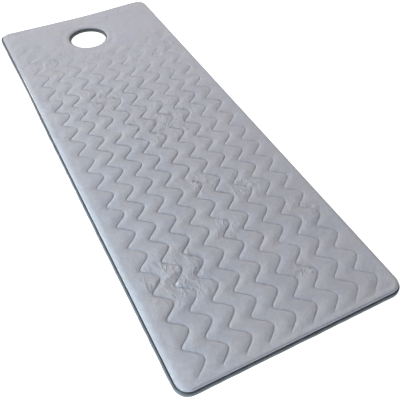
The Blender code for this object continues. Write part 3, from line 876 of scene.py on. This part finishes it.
def settled_height(points):
    """As pad_height, with the cloth's lift, and softly kept below the limit."""
    height, seam, patch = pad_height(points)
    x, y = points.T
    edge = edge_distance(x, y, HALF_X, HALF_Y, COVER_CORNER)
    margin = by_side(*edge_normal(x, y), 1.0, 0.0, 0.0, 0.0) * (1.0 - smooth(edge, 0.012, 0.060))
    room = PAD_LIMIT - height - lift_at(points) * (1.0 - 0.85 * margin)
    room = LIMIT_SOFTNESS * np.logaddexp(0.0, room / LIMIT_SOFTNESS)
    return PAD_LIMIT - room, seam, patch


# %% [markdown]
# ## Building the pad
#
# The grid's columns swing with the sewn waves and calm down towards both edges. Round the face
# hole a square patch of the grid is taken out, and rings of points lead from its rim to the round
# edge. The outer rim and the hole's rim then turn down behind the binding, and the underside
# closes the pad. It is lower along the edges and round the hole, because the pad is thin there
# and a flat underside would stand out through its top. In the deepest grooves and crumples away
# from the edges it still does, in small spots.

# %% Grid with a round hole
HOLE_PATCH = 0.128
HOLE_RINGS = 22


def pad_grid():
    """Flat points of the grid, and its number of columns and rows."""
    x = columns[None, :] + wave(rows)[:, None] * calm(columns)[None, :]
    y = np.repeat(rows[:, None], len(columns), axis=1)
    return round_corners(np.stack([x.ravel(), y.ravel()], axis=1), HALF_X, HALF_Y, COVER_CORNER)


def patch_limits():
    """First and last column and row of the patch that the hole replaces."""
    inside_x = np.flatnonzero(np.abs(columns - HOLE_X) < HOLE_PATCH)
    inside_y = np.flatnonzero(np.abs(rows - HOLE_Y) < HOLE_PATCH)
    return inside_x[0], inside_x[-1], inside_y[0], inside_y[-1]


def around(first_column, last_column, first_row, last_row):
    """Indices of the grid points round a block, anticlockwise."""
    width = len(columns)
    bottom = [first_row * width + c for c in range(first_column, last_column)]
    right = [r * width + last_column for r in range(first_row, last_row)]
    top = [last_row * width + c for c in range(last_column, first_column, -1)]
    left = [r * width + first_column for r in range(last_row, first_row, -1)]
    return bottom + right + top + left


def grid_faces(patch):
    """Quads of the grid, without the patch."""
    c0, c1, r0, r1 = patch
    return grid_quads(len(rows), len(columns), lambda r, c: c0 <= c < c1 and r0 <= r < r1)


def hole_rings(points, rim):
    """Points of the rings from the patch's rim to the hole, ring by ring."""
    outer = points[rim]
    away = outer - np.array([HOLE_X, HOLE_Y])
    inner = np.array([HOLE_X, HOLE_Y]) + away / np.linalg.norm(away, axis=1)[:, None] * COVER_HOLE
    shares = [(1.0 - k / HOLE_RINGS) ** 1.7 for k in range(1, HOLE_RINGS + 1)]
    return np.concatenate([inner + (outer - inner) * share for share in shares])


def build_pad():
    """Points, faces, and the outer and inner rims of the pad's top."""
    points = pad_grid()
    patch = patch_limits()
    faces = grid_faces(patch)
    rim = around(*patch)
    start = len(points)
    points = np.concatenate([points, hole_rings(points, rim)])
    loops = [rim] + [list(range(start + k * len(rim), start + (k + 1) * len(rim)))
                     for k in range(HOLE_RINGS)]
    for first, second in zip(loops, loops[1:]):
        faces += loop_strip(first, second)
    outer = around(0, len(columns) - 1, 0, len(rows) - 1)
    heights, *shades = settled_height(points)
    return swell(np.column_stack([points, heights])), faces, outer, loops[-1], shades


pad_points, pad_faces, pad_outer, pad_inner, pad_shades = build_pad()
print("pad top:", len(pad_points), "points,", len(pad_faces), "faces")


# %% Turned-down rims and underside
HEM = 0.0019
HEM_HEIGHT = inlet_high.z + 0.0004
LOW_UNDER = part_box("foot_heater_carrier")[1].z + 0.0002
STEP_IN, STEP_IN_LEFT, STEP_IN_HOLE = 0.007, 0.036, 0.010


def close_pad(points, faces, outer, inner):
    """Add the rims that turn down and in, and the underside, which steps down where the pad is thin."""
    flat = points[:, :2]
    centre = np.array([HOLE_X, HOLE_Y])
    away = (flat[inner] - centre) / COVER_HOLE
    further = np.where(flat[outer, :1] < 0.0, STEP_IN_LEFT, STEP_IN) * (1, 0) + np.array([0, STEP_IN])
    sizes = np.array([HALF_X, HALF_Y])
    rims = []
    for loop, first, second in (
            (outer, flat[outer] * (1 - HEM / sizes), flat[outer] * (1 - further / sizes)),
            (inner, centre + away * (COVER_HOLE + HEM), centre + away * (COVER_HOLE + STEP_IN_HOLE))):
        steps = [(flat[loop], HEM_HEIGHT), (first, HEM_HEIGHT), (first, LOW_UNDER),
                 (second, LOW_UNDER), (second, PAD_UNDER)]
        previous = loop
        for place, height in steps:
            added = np.column_stack([place, np.full(len(loop), height)])
            indices = list(range(len(points), len(points) + len(loop)))
            points = np.concatenate([points, added])
            faces += loop_strip(indices, previous) if loop is outer else loop_strip(previous, indices)
            previous = indices
        rims.append(previous)
    faces += underside(points, *rims)
    return points, faces


def underside(points, outer, inner):
    """Flat faces between the inner edges of the two hems: rungs across, and one face with the hole."""
    across, up = len(columns) - 1, len(rows) - 1
    right = outer[across:across + up + 1]
    left = (outer[:1] + outer[:across + up + across - 1:-1])[:up + 1]
    first, last = patch_limits()[2:]
    rungs = [r for r in range(1, up - 1) if not first <= r < last]
    faces = [(left[r], left[r + 1], right[r + 1], right[r]) for r in rungs]
    faces.append(tuple([left[1], right[1], right[0], *outer[across - 1:0:-1], left[0]]))
    top = outer[across + up:across + up + across + 1]
    faces.append(tuple([left[up - 1], *reversed(top), right[up - 1]]))
    block = right[first:last + 1] + left[first:last + 1][::-1]
    faces += fill_between(points, block, inner)
    return faces


def fill_between(points, outer, inner):
    """Triangles that fill the flat ring between two loops, facing down."""
    bm = bmesh.new()
    made = [[bm.verts.new(points[i]) for i in loop] for loop in (outer, inner)]
    edges = [bm.edges.new((loop[i - 1], loop[i])) for loop in made for i in range(len(loop))]
    index = {vert: i for loop, names in zip(made, (outer, inner)) for vert, i in zip(loop, names)}
    bmesh.ops.triangle_fill(bm, use_beauty=True, edges=edges, normal=(0, 0, -1))
    faces = [tuple(index[v] for v in (f.verts if f.normal.z < 0 else reversed(f.verts))) for f in bm.faces]
    bm.free()
    return faces


def make_pad():
    points, faces = close_pad(pad_points, list(pad_faces), pad_outer, pad_inner)
    pad = make_piece("quilted_pad", settle(points), faces, face_fabric)
    # The first attribute is painted shade along the sewn lines; the second scales the creases' bumps.
    for name, values in zip(("seam", "crumple"), pad_shades):
        shade = pad.data.attributes.new(name, "FLOAT", "POINT")
        shade.data.foreach_set("value", np.append(values, np.zeros(len(points) - len(values))))
    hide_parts("foot_quilted_cover", "head_quilted_cover", "foot_wadding", "head_wadding")
    bend_at_fold(pad)
    return pad


pad = make_pad()
print("pad:", len(pad.data.vertices), "points")

# %% [markdown]
# ## The bindings
#
# A dark tape is folded over the raw edge where base and pad are sewn together. It stands out past
# the pad and is lower than it. Its cross-section is drawn once and swept round the outline, and a
# second, round sweep lines the face hole.

# %% Binding profile
BAND_HEIGHT = band_high.z
# Inset beyond which the tape's top gets the painted shade.
FOLD_INSET = 0.0045
TAPE_STRAY, TAPE_STRAY_SIZE = 0.0006, 0.034


def binding_profile(width):
    """Distance in from the outer edge, and height, round the tape's cross-section."""
    top = BAND_HEIGHT
    return [(width, 0.0), (0.0014, 0.0), (0.0004, 0.0007), (0.0, 0.0022), (0.0, 0.0072),
            (0.0003, top - 0.0028), (0.0011, top - 0.0012), (0.0023, top - 0.0002), (0.0040, top),
            (0.0056, top - 0.0004), (0.0068, top - 0.0014), (width, top - 0.0030)]


def lip_reach(inset, height):
    """Share of the lip's length that a profile point moves inwards."""
    return min(1.0, max(0.0, inset - 0.0040) / 0.0028) if height > BAND_HEIGHT - 0.0018 else 0.0


def rounded_path(half_x, half_y, radius, step, corner_steps):
    """Anticlockwise points and outward normals of a rectangle with round corners."""
    path = []
    for k, (sx, sy) in enumerate(((1, -1), (1, 1), (-1, 1), (-1, -1))):
        cx, cy = sx * (half_x - radius), sy * (half_y - radius)
        for i in range(corner_steps + 1):
            angle = math.pi / 2 * (k - 1 + i / corner_steps)
            path.append((cx + radius * math.cos(angle), cy + radius * math.sin(angle),
                         math.cos(angle), math.sin(angle)))
        x0, y0, nx, ny = path[-1]
        length = 2 * (half_y - radius) if k in (0, 2) else 2 * (half_x - radius)
        count = round(length / step)
        for i in range(1, count):
            along = length * i / count
            path.append((x0 - ny * along, y0 + nx * along, nx, ny))
    return np.array(path)


def wander(path):
    """How far the soft tape strays outwards and upwards along its path, more in the corners."""
    corner = 1.0 + 1.6 * np.clip(4.0 * (path[:, 2] * path[:, 3]) ** 2, 0.0, 1.0)
    out = TAPE_STRAY * field(path[:, :2], TAPE_STRAY_SIZE, 21.0) * corner
    return out, 0.9 * TAPE_STRAY * field(path[:, :2], TAPE_STRAY_SIZE * 0.7, 27.0) * corner


def sweep(path, profile, stray, lip):
    """Points and faces of a profile swept round a closed path; a profile point is (inset, height)."""
    ring, points = len(profile), []
    for (x, y, nx, ny), out, up in zip(path, *stray):
        for inset, z in profile:
            shift = inset - out * (1.0 - inset / BAND_WIDTH)
            shift += lip * min(nx, 0.0) ** 2 * lip_reach(inset, z)
            points.append((x - nx * shift, y - ny * shift, z + up * z / BAND_HEIGHT))
    faces = []
    for i in range(len(path)):
        j = (i + 1) % len(path)
        for k in range(ring):
            m = (k + 1) % ring
            faces.append((i * ring + k, j * ring + k, j * ring + m, i * ring + m))
    return np.array(points), faces


def make_edge_binding():
    path = rounded_path(band_high.x, band_high.y, MAT_CORNER, 0.004, 14)
    profile = binding_profile(BAND_WIDTH)
    points, faces = sweep(path, profile, wander(path), LIP_LEFT)
    band = make_piece("edge_binding", settle(points), faces, binding_fabric)
    # Painted shade on the inner part of the tape's top, beside the pad.
    fold = band.data.attributes.new("fold", "FLOAT", "POINT")
    painted_fold_shade = [float(inset > FOLD_INSET and height > 0.0) for inset, height in profile]
    fold.data.foreach_set("value", painted_fold_shade * len(path))
    cut_window(band)
    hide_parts("foot_edge_binding", "head_edge_binding")
    bend_at_fold(band)
    return band


def cut_window(band):
    """Cut the opening for the inlet."""
    low, high = inlet_low - Vector((GAP,) * 3), inlet_high + Vector((0.02, GAP, GAP))
    bm = bmesh.new()
    bmesh.ops.create_cube(bm, size=1.0)
    for vert in bm.verts:
        vert.co = Vector([low[k] + (vert.co[k] + 0.5) * (high[k] - low[k]) for k in range(3)])
    cut_away(band, bm, "window_cutter")


def cut_away(piece, bm, name):
    """Cut a shape out of a piece, keep the result as plain mesh, and clear the shape away."""
    mesh = bpy.data.meshes.new(name)
    bm.to_mesh(mesh)
    bm.free()
    cutter = bpy.data.objects.new(name, mesh)
    bpy.context.scene.collection.objects.link(cutter)
    boolean = piece.modifiers.new("cut", "BOOLEAN")
    boolean.operation, boolean.solver, boolean.object = "DIFFERENCE", "EXACT", cutter
    keep_evaluated(piece)
    bpy.data.objects.remove(cutter)


def keep_evaluated(piece):
    """Replace a piece's mesh by its modifiers' result."""
    shown = piece.evaluated_get(bpy.context.evaluated_depsgraph_get())
    mesh = bpy.data.meshes.new_from_object(shown)
    piece.modifiers.clear()
    piece.data = mesh


edge_binding = make_edge_binding()
print("edge binding:", len(edge_binding.data.vertices), "points")


# %% Face hole binding
def make_hole_binding():
    angles = np.linspace(0.0, 2 * math.pi, 161)[:-1]
    inner = RING_OUTER - BAND_WIDTH
    path = np.stack([HOLE_X + inner * np.cos(angles), HOLE_Y + inner * np.sin(angles),
                     -np.cos(angles), -np.sin(angles)], axis=1)
    points, faces = sweep(path, binding_profile(BAND_WIDTH), np.zeros((2, len(path))), 0.0)
    faces = [face[::-1] for face in faces]
    ring = make_piece("face_hole_rim", points, faces, rim_fabric, "head_half")
    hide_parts("face_hole_binding")
    return ring


hole_rim = make_hole_binding()
print("face hole rim:", len(hole_rim.data.vertices), "points")

# %% [markdown]
# ## The base cover
#
# The underside is a thin dark cloth. It crosses the fold, so it is a grid that is fine there.

# %% Base cover
base_low, base_high = span("foot_base_cover", "head_base_cover")
HOLE_SIDES = 96


def make_base_cover():
    half_x, half_y = base_high.x, base_high.y
    fold = np.arange(-0.024, 0.0241, 0.003)
    ys = np.concatenate([np.linspace(-half_y, -0.03, 46), fold, np.linspace(0.03, half_y, 46)])
    xs = np.linspace(-half_x, half_x, 36)
    grid_x, grid_y = np.meshgrid(xs, ys)
    flat = round_corners(np.stack([grid_x.ravel(), grid_y.ravel()], axis=1), half_x, half_y, COVER_CORNER)
    bm = bmesh.new()
    verts = [bm.verts.new((x, y, base_high.z)) for x, y in settle(flat)]
    for face in grid_quads(len(ys), len(xs)):
        bm.faces.new([verts[i] for i in face])
    mesh = bpy.data.meshes.new("base_cover")
    bm.to_mesh(mesh)
    bm.free()
    mesh.materials.append(base_fabric)
    base = bpy.data.objects.new("base_cover", mesh)
    bpy.context.scene.collection.objects.link(base)
    thick = base.modifiers.new("thickness", "SOLIDIFY")
    thick.thickness, thick.offset = base_high.z - base_low.z, -1.0
    keep_evaluated(base)
    cut_round_hole(base)
    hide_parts("foot_base_cover", "head_base_cover")
    bend_at_fold(base)
    return base


def cut_round_hole(base):
    bm = bmesh.new()
    bmesh.ops.create_cone(bm, cap_ends=True, segments=HOLE_SIDES, radius1=COVER_HOLE,
                          radius2=COVER_HOLE, depth=0.1)
    bmesh.ops.translate(bm, verts=bm.verts, vec=(HOLE_X, HOLE_Y, 0))
    cut_away(base, bm, "hole_cutter")


base_cover = make_base_cover()
print("base cover:", len(base_cover.data.vertices), "points")


# %% [markdown]
# ## Anti-slip dots
#
# A base of this kind grips the table with small dots of rubber. These are low domes on a grid in
# which every second row is shifted, and they stay clear of the bound edges. As built they lie
# inside the thickness of the base cloth, so they don't show. To stand out they need a cloth whose
# underside is higher than their tops, and their faces turned to point outwards.

# %% Dots under the base
DOT_SPACING = 0.0166
DOT_RADIUS = 0.0024
DOT_SIDES = 8
DOT_MARGIN = 0.012


def dot_places():
    rows_y = np.arange(-HALF_Y + DOT_MARGIN, HALF_Y - DOT_MARGIN, DOT_SPACING * math.sqrt(3) / 2)
    places = []
    for number, y in enumerate(rows_y):
        shift = DOT_SPACING / 2 * (number % 2)
        places += [(x + shift, y) for x in np.arange(-HALF_X + DOT_MARGIN, HALF_X - DOT_MARGIN, DOT_SPACING)]
    places = np.array(places)
    edge = edge_distance(places[:, 0], places[:, 1], HALF_X, HALF_Y, COVER_CORNER)
    hole = np.hypot(places[:, 0] - HOLE_X, places[:, 1] - HOLE_Y) - COVER_HOLE
    return places[(edge > DOT_MARGIN) & (hole > DOT_MARGIN)]


def make_dots():
    """Low domes on every place; returns how many there are."""
    places = settle(dot_places())
    angles = 2 * np.pi * np.arange(DOT_SIDES) / DOT_SIDES
    circle = np.stack([np.cos(angles), np.sin(angles)], axis=1)
    rings = [(DOT_RADIUS, base_low.z + 0.0002), (DOT_RADIUS * 0.94, 0.0004), (DOT_RADIUS * 0.66, 0.0001)]
    per_dot = DOT_SIDES * len(rings)
    points = np.concatenate([
        np.column_stack([places[:, None, :].repeat(DOT_SIDES, 1).reshape(-1, 2)
                         + np.tile(circle * radius, (len(places), 1)),
                         np.full(len(places) * DOT_SIDES, height)]).reshape(len(places), DOT_SIDES, 3)
        for radius, height in rings], axis=1).reshape(-1, 3)
    faces = []
    for dot in range(len(places)):
        first = dot * per_dot
        for ring in range(len(rings) - 1):
            for k in range(DOT_SIDES):
                m = (k + 1) % DOT_SIDES
                low, high = first + ring * DOT_SIDES, first + (ring + 1) * DOT_SIDES
                faces.append((low + k, high + k, high + m, low + m))
        faces.append(tuple(first + per_dot - 1 - k for k in range(DOT_SIDES)))
    dots = make_piece("anti_slip_dots", points, faces, dot_rubber)
    bend_at_fold(dots)
    return len(places)


def make_dot_rubber():
    made, tree, shader, place = start_material("dot_rubber", 0.55)
    mottle = use_group(tree, MOTTLE, Vector=place, Size=0.02)["Amount"]
    grain = use_group(tree, GRAIN, Vector=place, Size=0.0006)["Amount"]
    feed_colour(tree, shader, mottle, (0.075, 0.078, 0.085), (0.105, 0.108, 0.115))
    feed_roughness(tree, shader, grain, 0.45, 0.65)
    feed_bump(tree, shader, grain, 0.00005)
    return made


dot_rubber = make_dot_rubber()
print(make_dots(), "anti-slip dots")

# %% [markdown]
# ## Thread
#
# Each stitch is a short, slightly arched piece of thread whose ends sink into the fabric. All the
# stitches of a seam are one mesh, built from a few cross-sections by whole-array sums, because
# there are thousands of them. Their faces are wound so that they point inwards. The quilting
# follows the grooves, and the binding has its own row.

# %% Stitch builder
STITCH_PITCH = 0.0045
STITCH_LENGTH = 0.0035
THREAD_RADIUS = 0.00033
VISIBLE_STITCHING = 0.16     # least groove strength at which a stitch shows
STITCH_RINGS = ((0.0, 0.45, -0.9), (0.5, 1.0, 0.55), (1.0, 0.45, -0.9))


def stitch_ends(path):
    """First and last points of the stitches along a path, by its length."""
    steps = np.linalg.norm(np.diff(path, axis=0), axis=1)
    length = np.concatenate([[0.0], np.cumsum(steps)])
    starts = np.arange(0.0, length[-1] - STITCH_PITCH, STITCH_PITCH)
    read = [np.stack([np.interp(at, length, path[:, k]) for k in range(3)], axis=1)
            for at in (starts, starts + STITCH_LENGTH)]
    return np.stack(read, axis=1)


def make_stitches(name, ends, material, radius=THREAD_RADIUS):
    first, last = ends[:, 0], ends[:, 1]
    along = last - first
    up = np.array([0.0, 0.0, 1.0])
    side = np.cross(along, up)
    side /= np.linalg.norm(side, axis=1)[:, None]
    points = np.empty((len(ends), 12, 3))
    for ring, (share, size, lift) in enumerate(STITCH_RINGS):
        centre = first + along * share + up * lift * radius
        for k in range(4):
            angle = math.pi / 2 * k
            points[:, ring * 4 + k] = (centre + side * math.cos(angle) * radius * size
                                       + up * math.sin(angle) * radius * size)
    pattern = [(ring * 4 + k, ring * 4 + (k + 1) % 4, ring * 4 + 4 + (k + 1) % 4, ring * 4 + 4 + k)
               for ring in (0, 1) for k in range(4)] + [(3, 2, 1, 0), (8, 9, 10, 11)]
    faces = [tuple(12 * stitch + i for i in face) for stitch in range(len(ends)) for face in pattern]
    return make_piece(name, points.reshape(-1, 3), faces, material)


# %% Quilting stitches
def quilting_paths():
    """Places on the pad's surface along each sewn line, where the sewing is tight enough to see."""
    paths = []
    for number in range(LINE_COUNT):
        flat = sewn_line(number, 0.0006)
        flat = flat[np.abs(flat[:, 0]) < HALF_X - 0.012]
        edge = edge_distance(flat[:, 0], flat[:, 1], HALF_X, HALF_Y, COVER_CORNER)
        hole = np.hypot(flat[:, 0] - HOLE_X, flat[:, 1] - HOLE_Y) - COVER_HOLE
        tight = groove_strength(flat[:, 0], flat[:, 1], edge, hole) > VISIBLE_STITCHING
        flat = flat[tight]
        height = settled_height(flat)[0]
        placed = settle(swell(np.column_stack([flat, height])))
        breaks = np.flatnonzero(np.diff(flat[:, 1]) > 0.003) + 1
        paths += [run for run in np.split(placed, breaks) if len(run) > 20]
    return paths


quilting_ends = np.concatenate([stitch_ends(path) for path in quilting_paths()])
quilting = make_stitches("quilting_stitches", quilting_ends, quilting_thread)
bend_at_fold(quilting)
print("quilting:", len(quilting.data.polygons) // 10, "stitches")


# %% Binding stitches
BINDING_STITCH_INSET = 0.0042
RING_STITCH_POINTS = 400


def binding_stitches():
    path = rounded_path(band_high.x, band_high.y, MAT_CORNER, 0.002, 20)
    path = np.vstack([path, path[:1]])
    out, up = wander(path)
    inset = BINDING_STITCH_INSET - out * (1.0 - BINDING_STITCH_INSET / BAND_WIDTH)
    places = settle(np.column_stack([path[:, :2] - path[:, 2:] * inset[:, None], BAND_HEIGHT + up]))
    edge_row = make_stitches("binding_stitches", stitch_ends(places), binding_thread)
    bend_at_fold(edge_row)
    angles = np.linspace(0.0, 2 * math.pi, RING_STITCH_POINTS)
    radius = RING_OUTER - BAND_WIDTH + BINDING_STITCH_INSET
    circle = np.stack([HOLE_X + radius * np.cos(angles), HOLE_Y + radius * np.sin(angles),
                       np.full(RING_STITCH_POINTS, BAND_HEIGHT)], axis=1)
    ring_row = make_stitches("face_hole_stitches", stitch_ends(circle), binding_thread)
    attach(ring_row, "head_half")
    return edge_row, ring_row


binding_thread = make_woven("binding_thread", (0.085, 0.09, 0.10), (0.14, 0.15, 0.16), 0.0003, 0.6, 0.0001)
for row in binding_stitches():
    print(row.name, len(row.data.polygons) // 10, "stitches")

# %% [markdown]
# ## Finishes of the layers inside and of the inlet
#
# The foam, felt, foil, carrier, cables and inlet keep their exact shapes from the frame, and get
# the finish that the record names for each. They are mostly out of sight, but anyone who opens
# the mat up sees them, so each has its own structure: cells, fibres, creases or moulded grain.


# %% Finishes by kind
def make_fibre(name, dark, light, size, bump):
    """Matted fibres: felt, fleece."""
    made, tree, shader, place = start_material(name, 0.95, Sheen_Weight=0.2)
    fluff = use_group(tree, FLUFF, Vector=place, Size=size)["Amount"]
    mottle = use_group(tree, MOTTLE, Vector=place, Size=size * 9)["Amount"]
    tone = compute(tree, "MULTIPLY", compute(tree, "ADD", fluff, mottle), 0.5)
    feed_colour(tree, shader, tone, dark, light)
    feed_roughness(tree, shader, fluff, 0.85, 1.0)
    feed_bump(tree, shader, fluff, bump)
    return made


def make_celled(name, dark, light, size, roughness, metallic, bump):
    """Cells with walls: open foam, or foil creased in facets."""
    made, tree, shader, place = start_material(name, roughness, metallic)
    cells = use_group(tree, CELLS, Vector=place, Size=size)
    height = compute(tree, "ADD", cells["Wall"], cells["Tone"])
    feed_colour(tree, shader, compute(tree, "MULTIPLY", height, 0.5), dark, light)
    feed_roughness(tree, shader, cells["Tone"], roughness * 0.8, min(1.0, roughness * 1.2))
    feed_bump(tree, shader, height, bump)
    return made


def make_moulded(name, dark, light, roughness, grain_size, bump):
    """Plastic or rubber with a fine moulded grain."""
    made, tree, shader, place = start_material(name, roughness)
    grain = use_group(tree, GRAIN, Vector=place, Size=grain_size)["Amount"]
    mottle = use_group(tree, MOTTLE, Vector=place, Size=0.012)["Amount"]
    feed_colour(tree, shader, mottle, dark, light)
    feed_roughness(tree, shader, grain, roughness - 0.07, roughness + 0.07)
    feed_bump(tree, shader, grain, bump)
    return made


def make_metal(name, dark, light, roughness):
    """Drawn or plated metal with fine lines along it."""
    made, tree, shader, place = start_material(name, roughness, 1.0)
    lines = use_group(tree, BRUSHED, Vector=place, Size=0.0004)["Amount"]
    feed_colour(tree, shader, lines, dark, light)
    feed_roughness(tree, shader, lines, roughness - 0.06, roughness + 0.08)
    feed_bump(tree, shader, lines, 0.00002)
    return made


# %% Finish of every frame node that stays in sight
FINISHES = {
    "foam": make_celled("foam_cells", (0.62, 0.59, 0.46), (0.74, 0.71, 0.58), 0.0016, 0.9, 0.0, 0.0003),
    "felt": make_fibre("needled_felt", (0.24, 0.23, 0.21), (0.34, 0.32, 0.29), 0.003, 0.0005),
    "foil": make_celled("creased_foil", (0.66, 0.67, 0.69), (0.80, 0.81, 0.83), 0.009, 0.28, 1.0, 0.0002),
    "carrier": make_fibre("carrier_fleece", (0.74, 0.74, 0.71), (0.86, 0.86, 0.83), 0.0012, 0.0002),
    "wadding": make_fibre("wadding_fibres", (0.80, 0.80, 0.77), (0.90, 0.90, 0.87), 0.006, 0.0008),
    "cable_sheath": make_moulded("red_cable_sheath", (0.42, 0.030, 0.018), (0.52, 0.045, 0.026),
                                 0.45, 0.0008, 0.00003),
    "lead_sheath": make_moulded("grey_lead_sheath", (0.52, 0.52, 0.49), (0.62, 0.62, 0.59),
                                0.45, 0.0008, 0.00003),
    "cutout_case": make_moulded("cutout_case", (0.018, 0.018, 0.020), (0.030, 0.030, 0.033),
                                0.6, 0.0005, 0.00004),
    "sensor_case": make_moulded("sensor_case", (0.020, 0.045, 0.24), (0.030, 0.062, 0.32),
                                0.35, 0.0006, 0.00002),
    "inlet_plastic": make_moulded("inlet_plastic", (0.0065, 0.0065, 0.0075), (0.014, 0.014, 0.016),
                                  0.55, 0.0004, 0.00006),
    "board": make_celled("solder_mask", (0.008, 0.070, 0.028), (0.016, 0.110, 0.045), 0.003, 0.4, 0.0,
                         0.00004),
    "brass": make_metal("pin_brass", (0.56, 0.36, 0.11), (0.70, 0.48, 0.17), 0.25),
    "steel": make_metal("screw_steel", (0.42, 0.42, 0.42), (0.58, 0.58, 0.58), 0.32),
}
slots = {row["node"]: row["material_slot"] for row in frame["record"]["subparts"]}
for node, thing in frame["nodes"].items():
    if slots[node] in FINISHES:
        thing.data.materials.clear()
        thing.data.materials.append(FINISHES[slots[node]])
print(len(FINISHES), "finishes on the frame's own nodes")

# %% Floor
FLOOR_GLOW = 0.90
FLOOR_REACH, FLOOR_HEIGHT = 12.0, -0.0002


def make_floor():
    floor_material, tree, shader, place = start_material("studio_floor", 0.9)
    mottle = use_group(tree, MOTTLE, Vector=place, Size=1.5)["Amount"]
    feed_colour(tree, shader, mottle, (0.70, 0.70, 0.705), (0.72, 0.72, 0.72))
    shader.inputs["Emission Color"].default_value = (1.0, 1.0, 1.0, 1.0)
    shader.inputs["Emission Strength"].default_value = FLOOR_GLOW
    corners = ((-1, -1), (1, -1), (1, 1), (-1, 1))
    places = [(FLOOR_REACH * x, FLOOR_REACH * y, FLOOR_HEIGHT) for x, y in corners]
    floor = make_piece("floor", places, [(0, 1, 2, 3)], floor_material)


make_floor()
